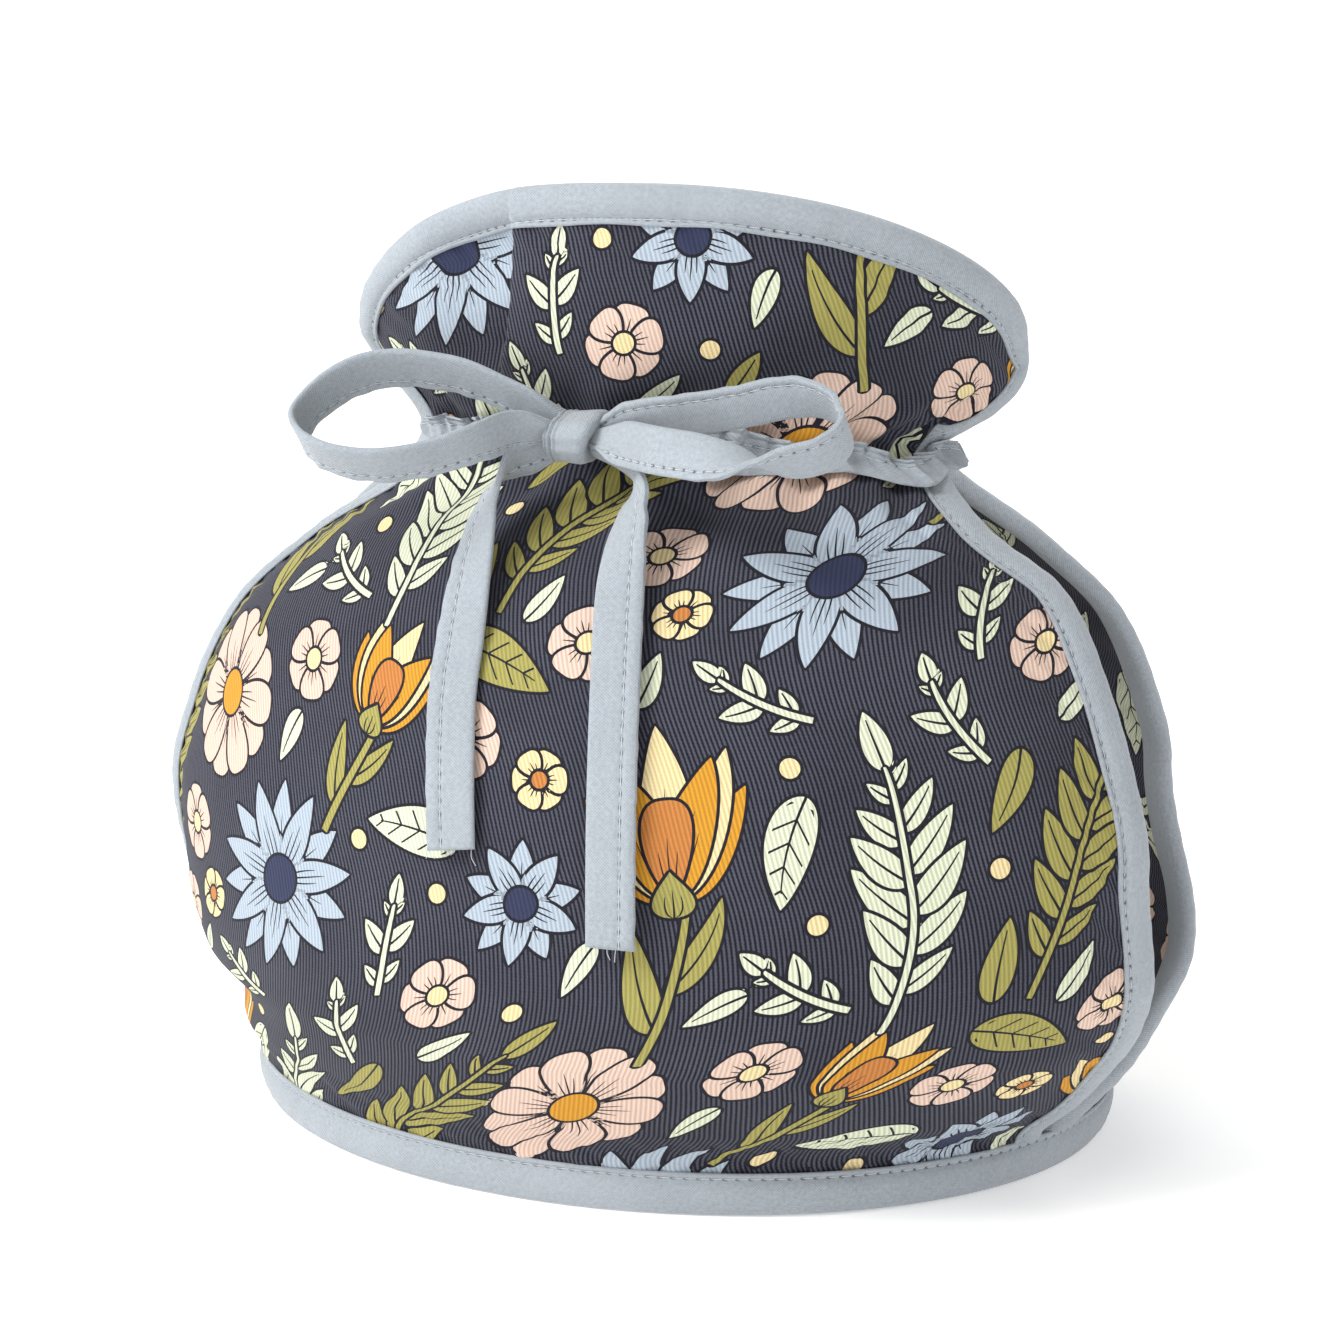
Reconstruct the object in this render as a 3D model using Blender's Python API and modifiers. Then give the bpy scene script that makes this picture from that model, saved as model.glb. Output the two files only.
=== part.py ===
"""A drawstring tea cosy: two wadded cloth panels, bound at their edges, on one hem band.

X runs from the spout side to the handle side, the front faces -Y, and Z is up. The origin is
under the middle of the cosy, on the surface that its hem rests on. Sizes are in metres.
"""

import math

import bmesh
import bpy
import numpy as np

# The cloth
WADDED = 0.0050  # a panel with its wadding
PRESSED = 0.0024  # the same cloth where a binding or the hem band squeezes it
PINCH = 0.0009  # how far the squeezed face is drawn in
SWELL = 0.014  # from a squeezed strip to the full wadding
TAPE = 0.0010  # folded cotton of a binding
UNDER_GAP = 0.0012  # under a binding, where the wadding is pushed aside
SEAM_GAP = 0.0009  # between a panel and what is sewn on it
EDGE_GAP = 0.0005  # between a panel's cut edge and the fold of its binding
ROUNDING = 0.0007  # how far a binding's flat sides run past the cut edge
BINDING_WIDTH = 0.0081
STRIP = 0.0100  # the border of a panel that a binding covers
HEM_HEIGHT = 0.0098

# The tie
TIE_WIDTH = 0.0105
TIE_THICK = 0.0012
KNOT = (-0.0008, -0.0560, 0.1680)
KNOT_SIZE = (0.0108, 0.0140, 0.0112)

# The panels
HEM_INSIDE = 0.0017  # the panels' lower edge, inside the hem band
ABOVE_HEM = HEM_HEIGHT + SEAM_GAP
NECK = 0.1650  # where the drawstring gathers the cloth
GATHERED = 0.1400  # the body's gathers fade out about here
RIM_BASE = 0.1840  # the two lower corners of the collar's arched rim
SAG_HEIGHT = 0.042
RIM_MIDDLE = 10.0  # degrees from the panel's middle
COLUMNS = 22
BODY_ROWS = 19
COLLAR_ROWS = 5
ROWS = BODY_ROWS + COLLAR_ROWS

# One panel's level sections. Each is a stretch of an ellipse, from the left angle to the right
# one, in degrees from the panel's middle.
LEVEL_COLUMNS = ("height", "half_width", "half_depth", "shift", "left", "right")
LEVELS = (
    (0.0000, 0.1062, 0.0875, 0.0000, -109.0, 70.0),
    (0.0105, 0.1080, 0.0885, 0.0000, -107.3, 70.0),
    (0.0200, 0.1148, 0.0930, 0.0025, -98.0, 72.0),
    (0.0300, 0.1210, 0.0980, 0.0050, -87.0, 72.0),
    (0.0400, 0.1285, 0.1015, 0.0065, -76.0, 69.5),
    (0.0550, 0.1345, 0.1040, 0.0085, -66.0, 65.5),
    (0.0800, 0.1358, 0.1040, 0.0070, -59.0, 63.3),
    (0.1000, 0.1310, 0.0990, 0.0071, -59.5, 63.3),
    (0.1200, 0.1206, 0.0900, 0.0085, -64.5, 63.5),
    (0.1380, 0.1025, 0.0765, 0.0115, -70.0, 64.5),
    (0.1500, 0.0854, 0.0625, 0.0110, -65.0, 61.0),
    (0.1580, 0.0750, 0.0520, 0.0065, -58.0, 61.5),
    (0.1650, 0.0690, 0.0460, 0.0020, -53.0, 68.5),
    (0.1720, 0.0735, 0.0480, 0.0030, -50.0, 77.5),
    (0.1800, 0.0795, 0.0530, 0.0030, -49.0, 86.5),
    (0.1900, 0.0850, 0.0570, 0.0020, -49.0, 93.0),
    (0.2000, 0.0865, 0.0590, 0.0020, -49.0, 95.0),
    (0.2150, 0.0855, 0.0600, 0.0020, -49.0, 95.0),
    (0.2320, 0.0850, 0.0600, 0.0010, -49.0, 95.0),
)

# Folds of a panel: across runs from -1 at its left edge to 1 at its right one, and depth is
# how far the cloth is drawn in at the fold's middle.
FOLD_COLUMNS = ("across", "height", "half_across", "half_height", "depth")
FRONT_FOLDS = (
    (-0.78, 0.165, 0.12, 0.024, 0.0014),
    (-0.53, 0.165, 0.14, 0.032, 0.0018),
    (-0.04, 0.165, 0.13, 0.030, 0.0018),
    (0.24, 0.165, 0.13, 0.034, 0.0020),
    (0.52, 0.165, 0.13, 0.030, 0.0018),
    (0.74, 0.165, 0.12, 0.024, 0.0014),
    (-0.50, 0.205, 0.16, 0.026, 0.0026),
    (-0.60, 0.028, 0.30, 0.011, 0.0024),
)
BACK_FOLDS = (
    (-0.78, 0.165, 0.12, 0.024, 0.0014),
    (-0.54, 0.165, 0.13, 0.032, 0.0018),
    (-0.28, 0.165, 0.13, 0.034, 0.0020),
    (0.00, 0.165, 0.13, 0.028, 0.0016),
    (0.28, 0.165, 0.13, 0.032, 0.0020),
    (0.54, 0.165, 0.13, 0.030, 0.0016),
    (0.74, 0.165, 0.12, 0.024, 0.0014),
    (0.40, 0.205, 0.16, 0.028, 0.0022),
)

# The casings: a ruffled strip sewn round the neck, which the tie runs through
CASING_COLUMNS = ("angle", "bottom", "top", "out")
FRONT_CASING = (
    (-42.5, 0.1600, 0.1690, 0.0008),
    (-18.0, 0.1612, 0.1708, 0.0008),
    (14.0, 0.1608, 0.1716, 0.0008),
    (23.5, 0.1604, 0.1715, 0.0008),
    (47.0, 0.1584, 0.1682, 0.0008),
    (58.0, 0.1574, 0.1656, 0.0026),
    (66.0, 0.1574, 0.1651, 0.0034),
    (78.0, 0.1586, 0.1657, 0.0040),
)
BACK_CASING = (
    (-41.0, 0.1590, 0.1680, 0.0008),
    (0.0, 0.1604, 0.1700, 0.0008),
    (49.0, 0.1590, 0.1680, 0.0008),
)
CASING_THICK = 0.0012
RUFFLE = 0.0007
RUFFLE_PITCH = 16.0  # degrees
RUFFLE_STEPS = 4

# The tie's routes, from the knot: each a hand-laid line through the tape's middle
ROUTE_COLUMNS = ("x", "y", "z")
LEFT_LOOP = (
    (-0.0058, -0.0570, 0.1726),
    (-0.0142, -0.0600, 0.1772),
    (-0.0255, -0.0620, 0.1821),
    (-0.0409, -0.0660, 0.1848),
    (-0.0527, -0.0700, 0.1818),
    (-0.0595, -0.0750, 0.1759),
    (-0.0592, -0.0810, 0.1699),
    (-0.0513, -0.0860, 0.1651),
    (-0.0395, -0.0840, 0.1628),
    (-0.0268, -0.0800, 0.1656),
    (-0.0155, -0.0730, 0.1692),
    (-0.0064, -0.0620, 0.1704),
)
RIGHT_LOOP = (
    (0.0048, -0.0572, 0.1711),
    (0.0148, -0.0600, 0.1754),
    (0.0274, -0.0620, 0.1800),
    (0.0410, -0.0640, 0.1829),
    (0.0535, -0.0640, 0.1828),
    (0.0633, -0.0660, 0.1798),
    (0.0677, -0.0710, 0.1749),
    (0.0661, -0.0770, 0.1707),
    (0.0568, -0.0790, 0.1686),
    (0.0426, -0.0770, 0.1693),
    (0.0264, -0.0710, 0.1703),
    (0.0152, -0.0665, 0.1697),
    (0.0050, -0.0620, 0.1692),
)
LEFT_TAIL = (
    (-0.0070, -0.0572, 0.1652),
    (-0.0114, -0.0578, 0.1627),
    (-0.0163, -0.0592, 0.1572),
    (-0.0186, -0.0642, 0.1501),
    (-0.0198, -0.0740, 0.1402),
    (-0.0173, -0.0858, 0.1267),
    (-0.0155, -0.0938, 0.1150),
    (-0.0126, -0.1012, 0.0990),
    (-0.0105, -0.1051, 0.0846),
)
RIGHT_TAIL = (
    (0.0052, -0.0590, 0.1650),
    (0.0101, -0.0592, 0.1632),
    (0.0138, -0.0602, 0.1598),
    (0.0162, -0.0642, 0.1540),
    (0.0176, -0.0705, 0.1470),
    (0.0202, -0.0802, 0.1372),
    (0.0228, -0.0936, 0.1180),
    (0.0255, -0.1017, 0.0983),
    (0.0270, -0.1057, 0.0819),
    (0.0271, -0.1064, 0.0672),
)
LOOP_WIDTH = (0.0, -0.66, 0.75)  # the way a loop's tape stands
TAIL_WIDTH = (1.0, 0.0, 0.0)  # a tail lies flat on the front
SQUEEZED = 0.4  # share of a tape's width where the knot holds it
SPREAD = 0.012  # from the knot to the full width


def slopes(x, y):
    """Slopes for a smooth curve through the rows of a table, level at its high and low rows."""
    step = np.diff(y) / np.diff(x)
    before, after = step[:-1], step[1:]
    product = before * after
    total = np.where(before + after == 0.0, 1.0, before + after)
    inner = np.where(product > 0.0, 2.0 * product / total, 0.0)
    return np.concatenate([step[:1], inner, step[-1:]])


TABLE = np.array(LEVELS)
SLOPES = np.array([slopes(TABLE[:, 0], TABLE[:, k]) for k in range(TABLE.shape[1])]).T


def section(height):
    """Half width, half depth, shift, left and right angle of the section at a height."""
    x = TABLE[:, 0]
    k = int(np.clip(np.searchsorted(x, height) - 1, 0, len(x) - 2))
    wide = x[k + 1] - x[k]
    t = min(max((height - x[k]) / wide, 0.0), 1.0)
    row = (
        (1 + 2 * t) * (1 - t) ** 2 * TABLE[k]
        + t * (1 - t) ** 2 * wide * SLOPES[k]
        + t * t * (3 - 2 * t) * TABLE[k + 1]
        + t * t * (t - 1) * wide * SLOPES[k + 1]
    )
    return row[1:]


def ease(t):
    t = min(max(t, 0.0), 1.0)
    return t * t * (3.0 - 2.0 * t)


def hump(t):
    return 0.5 + 0.5 * math.cos(math.pi * t) if abs(t) < 1.0 else 0.0


def unit(v):
    return v / np.linalg.norm(v)


def flat(v):
    return unit(np.array([v[0], v[1], 0.0]))


class Panel:
    """The worn shape of one panel's outer face."""

    def __init__(self, turn, rim_rise, lean, sag, folds):
        self.turn = turn  # 1 for the front panel, -1 for the back one, which is half a turn round
        self.rim_rise = rim_rise
        self.lean = lean  # how much further out the top of the collar leans
        self.sag = sag  # how much further the lower body hangs out at its left
        self.folds = folds
        self.places = self.cut_cloth()
        self.edge = np.array([self.cloth(*self.places[place]) for place in self.border()])

    def bare(self, angle, height):
        """A point of the face without its folds."""
        half_width, half_depth, shift, _, _ = section(height)
        half_depth += self.lean * ease((height - NECK) / (RIM_BASE + self.rim_rise - NECK))
        sag = self.sag * hump((height - SAG_HEIGHT) / SAG_HEIGHT) / 2.0
        half_width, shift = half_width + sag, shift - sag
        a = math.radians(angle)
        x = shift + half_width * math.sin(a)
        y = -half_depth * math.cos(a)
        return np.array([self.turn * x, self.turn * y, height])

    def directions(self, angle, height):
        """The face's steps for one degree and for one metre up, and its outward normal."""
        across = self.bare(angle + 0.5, height) - self.bare(angle - 0.5, height)
        up = (self.bare(angle, height + 0.0005) - self.bare(angle, height - 0.0005)) / 0.001
        return across, up, unit(np.cross(across, up))

    def fold_depth(self, angle, height):
        _, _, _, left, right = section(height)
        here = 2.0 * (angle - left) / (right - left) - 1.0
        return sum(
            depth * hump((here - across) / half_across) * hump((height - middle) / half_height)
            for across, middle, half_across, half_height, depth in self.folds
        )

    def cloth(self, angle, height, out=0.0):
        """A point of the folded face, or out metres proud of it."""
        normal = self.directions(angle, height)[2]
        return self.bare(angle, height) + (out - self.fold_depth(angle, height)) * normal

    def rim(self, angle):
        """The rim's height at an angle: an arch, steeper at its left than at its right."""
        _, _, _, left, right = section(RIM_BASE)
        if angle < RIM_MIDDLE:
            share, power = (RIM_MIDDLE - angle) / (RIM_MIDDLE - left), 2.7
        else:
            share, power = (angle - RIM_MIDDLE) / (right - RIM_MIDDLE), 2.0
        return RIM_BASE + self.rim_rise * (1.0 - min(share, 1.0) ** power) ** 0.9

    def cut_cloth(self):
        """The angle and height of each vertex of the cloth, by row and column."""
        fine = np.linspace(ABOVE_HEM, NECK, 400)
        line = np.array([self.bare(0.0, z) for z in fine])
        steps = np.linalg.norm(np.diff(line, axis=0), axis=1)
        steps *= np.where(fine[1:] > GATHERED, 3.0, 1.0)  # finer rows where the cloth is gathered
        run = np.concatenate([[0.0], np.cumsum(steps)])
        heights = [HEM_INSIDE, *np.interp(np.linspace(0.0, run[-1], BODY_ROWS), run, fine)]
        _, _, _, rim_left, rim_right = section(RIM_BASE)
        places = {}
        for row in range(ROWS + 1):
            for column in range(COLUMNS + 1):
                share = column / COLUMNS
                if row <= BODY_ROWS:
                    height = low = heights[row]
                else:
                    up = (row - BODY_ROWS) / COLLAR_ROWS
                    low = NECK + (RIM_BASE - NECK) * up
                    top = self.rim(rim_left + (rim_right - rim_left) * share)
                    height = NECK + (top - NECK) * up
                _, _, _, left, right = section(low)
                places[row, column] = (left + (right - left) * share, height)
        self.border_strip(places)
        return places

    def border(self):
        """The vertices along the edge: up the left side, over the rim, down the right side."""
        left = [(row, 0) for row in range(1, ROWS + 1)]
        rim = [(ROWS, column) for column in range(1, COLUMNS)]
        right = [(row, COLUMNS) for row in range(ROWS, 0, -1)]
        return left + rim + right

    def beside(self, place):
        """The vertex inside a vertex of the edge."""
        row, column = place
        return min(row, ROWS - 1), min(max(column, 1), COLUMNS - 1)

    def border_strip(self, places):
        """Moves the vertices beside the edge, so that the border strip keeps its width."""
        edge = self.border()
        points = np.array([self.bare(*places[place]) for place in edge])
        tangents = np.gradient(points, axis=0)
        moved = {}
        for place, tangent in zip(edge, tangents):
            angle, height = places[place]
            across, up, normal = self.directions(angle, height)
            if place[0] < ROWS:  # along its own row on a side
                steep = abs(np.dot(unit(tangent), unit(up)))
                inward = unit(across) * (1.0 if place[1] == 0 else -1.0) / max(steep, 0.75)
            else:
                inward = unit(np.cross(tangent, normal))
            step = np.linalg.lstsq(np.array([across, up]).T, inward * STRIP, rcond=None)[0]
            moved.setdefault(self.beside(place), []).append((angle + step[0], height + step[1]))
        for place, insides in moved.items():
            places[place] = tuple(np.mean(insides, axis=0))

    def fullness(self, point):
        """0 where the cloth is squeezed at an edge, to 1 where the wadding is full."""
        from_edge = np.linalg.norm(self.edge - point, axis=1).min()
        return ease(min(from_edge - STRIP, point[2] - ABOVE_HEM) / SWELL)


def material(name, colour, roughness):
    made = bpy.data.materials.new(name)
    made.use_nodes = True
    shader = made.node_tree.nodes["Principled BSDF"]
    shader.inputs["Base Color"].default_value = (*colour, 1.0)
    shader.inputs["Roughness"].default_value = roughness
    shader.inputs["Metallic"].default_value = 0.0
    made.diffuse_color = (*colour, 1.0)
    return made


def finish_mesh(name, bm, cloth):
    mesh = bpy.data.meshes.new(name)
    bm.to_mesh(mesh)
    bm.free()
    mesh.shade_smooth()
    mesh.set_sharp_from_angle(angle=math.radians(50.0))
    mesh.materials.append(cloth)
    made = bpy.data.objects.new(name, mesh)
    COLLECTION.objects.link(made)
    return made


def loft(name, rings, cloth, closed=False, guides=None, cap=None):
    """A solid through rings of points, one after another, with end caps unless it closes.

    Each face is split at its shorter diagonal, as measured on the guides where they are given.
    An end's faces are listed in cap, as numbers in the ring, where one flat face won't do.
    """
    guides = rings if guides is None else guides
    bm = bmesh.new()
    rows = [[bm.verts.new(point) for point in ring] for ring in rings]
    count = len(rings[0])
    for k in range(len(rows) if closed else len(rows) - 1):
        after = (k + 1) % len(rows)
        for i in range(count):
            j = (i + 1) % count
            a, b, c, d = rows[k][i], rows[k][j], rows[after][j], rows[after][i]
            one = np.linalg.norm(guides[k][i] - guides[after][j])
            other = np.linalg.norm(guides[k][j] - guides[after][i])
            for corners in ((a, b, c), (a, c, d)) if one < other else ((a, b, d), (b, c, d)):
                bm.faces.new(corners)
    if not closed:
        for corners in cap or [range(count)]:
            bm.faces.new([rows[0][i] for i in corners][::-1])
            bm.faces.new([rows[-1][i] for i in corners])
    bmesh.ops.remove_doubles(bm, verts=bm.verts, dist=0.000001)
    bmesh.ops.triangulate(bm, faces=bm.faces, quad_method="SHORT_EDGE")
    bmesh.ops.recalc_face_normals(bm, faces=bm.faces)
    return finish_mesh(name, bm, cloth)


def make_panel(name, panel, cloth):
    """The cut cloth as a grid, worn, and given its wadding inwards.

    Returns a line of the border strip at each vertex of the edge: the edge's point, normal and
    thickness, then those at the strip's inner side.
    """
    bm = bmesh.new()
    bmesh.ops.create_grid(bm, x_segments=COLUMNS, y_segments=ROWS, size=1.0)
    vertices = {}
    full = {}
    for vertex in bm.verts:
        place = round((vertex.co.y + 1.0) / 2.0 * ROWS), round((vertex.co.x + 1.0) / 2.0 * COLUMNS)
        angle, height = panel.places[place]
        vertices[place] = vertex
        full[place] = panel.fullness(panel.cloth(angle, height))
        vertex.co = panel.cloth(angle, height, -PINCH * (1.0 - full[place]))
    for face in list(bm.faces):
        a, b, c, d = face.verts
        ends = (a, c) if (a.co - c.co).length < (b.co - d.co).length else (b, d)
        bmesh.utils.face_split(face, *ends)
    bm.normal_update()

    def layer(place):
        vertex = vertices[place]
        normal = np.array(vertex.normal)
        thick = PRESSED + (WADDED - PRESSED) * full[place]
        return np.array(vertex.co), normal, thick

    strip = [(layer(place), layer(panel.beside(place))) for place in panel.border()]
    weights = {vertex.index: full[place] for place, vertex in vertices.items()}
    made = finish_mesh(name, bm, cloth)
    group = made.vertex_groups.new(name="wadding")
    for index, weight in weights.items():
        group.add([index], weight, "REPLACE")
    wadding = made.modifiers.new("wadding", "SOLIDIFY")
    wadding.thickness = WADDED
    wadding.offset = -1.0
    wadding.vertex_group = "wadding"
    wadding.thickness_vertex_group = PRESSED / WADDED
    return strip


def make_binding(name, strip, cloth):
    """Bias tape folded over a panel's border strip, from the hem band round to it again."""
    share = BINDING_WIDTH / STRIP
    under = share - 0.2  # the fold underneath is a little narrower
    profile = (
        # share of the strip, past the edge, layers of thickness inwards, out of the face
        (share, 0.0, 0.0, SEAM_GAP),
        (share, 0.0, 0.0, SEAM_GAP + TAPE),
        (0.0, ROUNDING, 0.0, SEAM_GAP + TAPE),
        (0.0, SEAM_GAP + TAPE, 0.5, 0.0),
        (0.0, ROUNDING, 1.0, -UNDER_GAP - TAPE),
        (under, 0.0, 1.0, -UNDER_GAP - TAPE),
        (under, 0.0, 1.0, -UNDER_GAP),
        (0.0, EDGE_GAP, 1.0, -UNDER_GAP),
        (0.0, EDGE_GAP, 0.0, SEAM_GAP),
    )
    rings, guides = [], []
    for (point, normal, thick), (point_in, normal_in, thick_in) in strip:
        inward = unit(point_in - point)
        ring = []
        for part, past, layers, out in profile:
            here = point + (point_in - point) * part - inward * past
            facing = unit(normal + (normal_in - normal) * part)
            deep = thick + (thick_in - thick) * part
            ring.append(here + facing * (out - layers * deep))
        rings.append(ring)
        guides.append([point_in if part else point for part, _, _, _ in profile])
    for end, following in ((rings[0], rings[1]), (rings[-1], rings[-2])):
        for point, after in zip(end, following):
            short = (ABOVE_HEM - point[2]) / (after[2] - point[2])
            point += max(short, 0.0) * (after - point)  # trimmed above the hem band
    cap = (0, 1, 2, 8), (2, 3, 8), (3, 7, 8), (3, 4, 7), (4, 5, 6, 7)
    return loft(name, rings, cloth, guides=guides, cap=cap)


def make_hem_band(panels, cloth):
    """A wide tape folded over the lower edges of both panels, in a ring, flat underneath."""
    outer = -PINCH + SEAM_GAP
    inner = -PINCH - PRESSED - SEAM_GAP
    profile = (
        # out of the panels' face, height
        (outer, HEM_HEIGHT),
        (outer + TAPE, HEM_HEIGHT),
        (outer + 1.6 * TAPE, 0.55 * HEM_HEIGHT),
        (outer + TAPE, 0.0),
        (inner - TAPE, 0.0),
        (inner - 1.2 * TAPE, 0.5 * HEM_HEIGHT),
        (inner - TAPE, HEM_HEIGHT - 0.0008),
        (inner, HEM_HEIGHT - 0.0008),
        (inner, HEM_INSIDE - SEAM_GAP),
        (outer, HEM_INSIDE - SEAM_GAP),
    )
    rings = []
    for panel in panels:
        for column in range(COLUMNS + 1):
            angle, height = panel.places[0, column]
            normal = flat(panel.directions(angle, height)[2])
            rings.append([panel.bare(angle, rise) + out * normal for out, rise in profile])
    return loft("hem_band", rings, cloth, closed=True)


def make_casing(name, panel, table, first, last, cloth):
    """A stretch of the neck's ruffled casing, from one angle to another."""
    angles, *columns = np.array(table).T
    steps = round((last - first) / RUFFLE_PITCH * RUFFLE_STEPS)
    rings = []
    for angle in np.linspace(first, last, steps + 1):
        bottom, top, out = (np.interp(angle, angles, column) for column in columns)
        wave = RUFFLE * (1.0 + math.sin(2.0 * math.pi * angle / RUFFLE_PITCH))
        low, high = panel.bare(angle, bottom), panel.bare(angle, top)
        normal = flat(panel.directions(angle, (bottom + top) / 2.0)[2])
        near, far = out + wave, out + wave + CASING_THICK
        rings.append([low + near * normal, low + far * normal, high + far * normal, high + near * normal])
    return loft(name, rings, cloth)


def smooth_route(route, step):
    """Points evenly spaced along a smooth curve through a route's points."""
    points = np.array(route)
    padded = np.vstack([2 * points[0] - points[1], points, 2 * points[-1] - points[-2]])
    fine = []
    for k in range(len(points) - 1):
        a, b, c, d = padded[k : k + 4]
        for t in np.linspace(0.0, 1.0, 12, endpoint=False):
            fine.append(
                0.5 * (2 * b + (c - a) * t + (2 * a - 5 * b + 4 * c - d) * t**2)
                + 0.5 * (3 * b - a - 3 * c + d) * t**3
            )
    fine = np.array([*fine, points[-1]])
    run = np.concatenate([[0.0], np.cumsum(np.linalg.norm(np.diff(fine, axis=0), axis=1))])
    even = np.linspace(0.0, run[-1], round(run[-1] / step) + 1)
    return np.array([np.interp(even, run, fine[:, k]) for k in range(3)]).T


def make_tape(name, route, width_way, ends_at_knot, cloth):
    """A flat tape along a route, squeezed narrow at its start, or also at its end, by the knot."""
    points = smooth_route(route, 0.007)
    tangents = np.gradient(points, axis=0)
    rings = []
    for point, tangent in zip(points, tangents):
        from_knot = np.linalg.norm(point - points[0])
        if ends_at_knot:
            from_knot = min(from_knot, np.linalg.norm(point - points[-1]))
        width = TIE_WIDTH * (SQUEEZED + (1.0 - SQUEEZED) * ease(from_knot / SPREAD))
        along = unit(tangent)
        wide = unit(np.array(width_way) - np.dot(width_way, along) * along) * width / 2.0
        thick = unit(np.cross(wide, along)) * TIE_THICK / 2.0
        rings.append([point - wide - thick, point + wide - thick, point + wide + thick, point - wide + thick])
    return loft(name, rings, cloth)


def make_knot(cloth):
    """The bow's knot, a soft lump from a coarse cage."""
    bm = bmesh.new()
    bmesh.ops.create_cube(bm, size=1.0)
    for vertex in bm.verts:
        vertex.co = [KNOT[k] + vertex.co[k] * KNOT_SIZE[k] * 1.35 for k in range(3)]
    made = finish_mesh("tie_knot", bm, cloth)
    soft = made.modifiers.new("soft", "SUBSURF")
    soft.levels = soft.render_levels = 2
    return made


for leftover in list(bpy.data.objects):
    bpy.data.objects.remove(leftover, do_unlink=True)
COLLECTION = bpy.data.collections.new("tea_cosy")
bpy.context.scene.collection.children.link(COLLECTION)

PRINTED = material("printed_twill", (0.075, 0.080, 0.100), 0.9)
GREY_COTTON = material("grey_blue_cotton", (0.42, 0.47, 0.51), 0.85)

front = Panel(1, 0.0402, 0.0, 0.0, FRONT_FOLDS)
back = Panel(-1, 0.0290, 0.010, 0.0045, BACK_FOLDS)
front_strip = make_panel("front_panel", front, PRINTED)
back_strip = make_panel("back_panel", back, PRINTED)
make_binding("front_binding", front_strip, GREY_COTTON)
make_binding("back_binding", back_strip, GREY_COTTON)
make_hem_band((front, back), GREY_COTTON)
make_casing("front_casing_left", front, FRONT_CASING, -42.5, -18.0, GREY_COTTON)
make_casing("front_casing_right", front, FRONT_CASING, 14.0, 78.0, GREY_COTTON)
make_casing("back_casing", back, BACK_CASING, -41.0, 49.0, GREY_COTTON)
make_knot(GREY_COTTON)
make_tape("tie_loop_left", LEFT_LOOP, LOOP_WIDTH, True, GREY_COTTON)
make_tape("tie_loop_right", RIGHT_LOOP, LOOP_WIDTH, True, GREY_COTTON)
make_tape("tie_tail_left", LEFT_TAIL, TAIL_WIDTH, False, GREY_COTTON)
make_tape("tie_tail_right", RIGHT_TAIL, TAIL_WIDTH, False, GREY_COTTON)
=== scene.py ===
"""A drawstring tea cosy of printed twill, bound in grey-blue cotton, standing on its hem.

X runs from the spout side to the handle side, the front faces -Y, and Z is up, in metres. The
camera and the tie come first, then the two leaves, their bindings, the hem band, the casings
round the neck, and the room.
"""

import math
import random
from collections import namedtuple
from dataclasses import dataclass
from functools import partialmethod

import bpy
import numpy as np
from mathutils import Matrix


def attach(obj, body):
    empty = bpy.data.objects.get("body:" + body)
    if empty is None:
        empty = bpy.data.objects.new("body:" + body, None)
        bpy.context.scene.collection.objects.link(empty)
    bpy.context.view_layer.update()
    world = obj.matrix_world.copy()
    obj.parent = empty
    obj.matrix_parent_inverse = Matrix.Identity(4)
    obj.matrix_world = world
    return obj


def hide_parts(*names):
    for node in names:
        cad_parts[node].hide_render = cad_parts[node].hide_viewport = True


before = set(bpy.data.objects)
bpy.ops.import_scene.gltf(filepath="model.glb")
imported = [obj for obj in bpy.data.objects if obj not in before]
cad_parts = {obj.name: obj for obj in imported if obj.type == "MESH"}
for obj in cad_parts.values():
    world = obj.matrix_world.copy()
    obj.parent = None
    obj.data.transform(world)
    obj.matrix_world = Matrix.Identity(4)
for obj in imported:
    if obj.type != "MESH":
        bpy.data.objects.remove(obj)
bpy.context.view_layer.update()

# ---------------------------------------------------------------------------- the camera
# It looks slightly down on the cosy from the front right, about 0.77 metres away.

CAMERA_PLACE = (0.28095, -0.69539, 0.26)
CAMERA_TARGET = (-0.0025, -0.0010, 0.1053)
CAMERA_LENS = 84.82  # millimetres, on a sensor 36 wide


def facing(place, target):
    """The turn that points a camera or a lamp from a place at a target."""
    aim = np.array(target) - np.array(place)
    return (math.acos(-aim[2] / np.linalg.norm(aim)), 0.0, math.atan2(-aim[0], aim[1]))


bpy.ops.object.select_all(action="DESELECT")
bpy.ops.object.camera_add(location=CAMERA_PLACE)
camera = bpy.context.object
camera.rotation_euler = facing(CAMERA_PLACE, CAMERA_TARGET)
camera.data.sensor_width = 36.0
camera.data.lens = CAMERA_LENS
bpy.context.scene.camera = camera

# ---------------------------------------------------------------------------- the tie
# A long tape of fine plain cotton, folded double and stitched along its open edge. It runs
# through the casings round the neck and is tied in a bow at the front: two loops, and two
# tails that end in a raw, slightly frayed cut.

TAPE_WIDTH = 0.0105
TAPE_THICK = 0.0012
WEAVE_PITCH = 0.00066  # from one thread of the plain cotton to the next
STITCH_PITCH = 0.0029
THREAD_RADIUS = 0.00013
HOLE_RADIUS = 0.00036
FRAYED_RADIUS = 0.00009
THREAD_SIDES = np.linspace(0.0, 2.0 * math.pi, 5, endpoint=False)
COTTON = (0.333, 0.367, 0.402)
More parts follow.
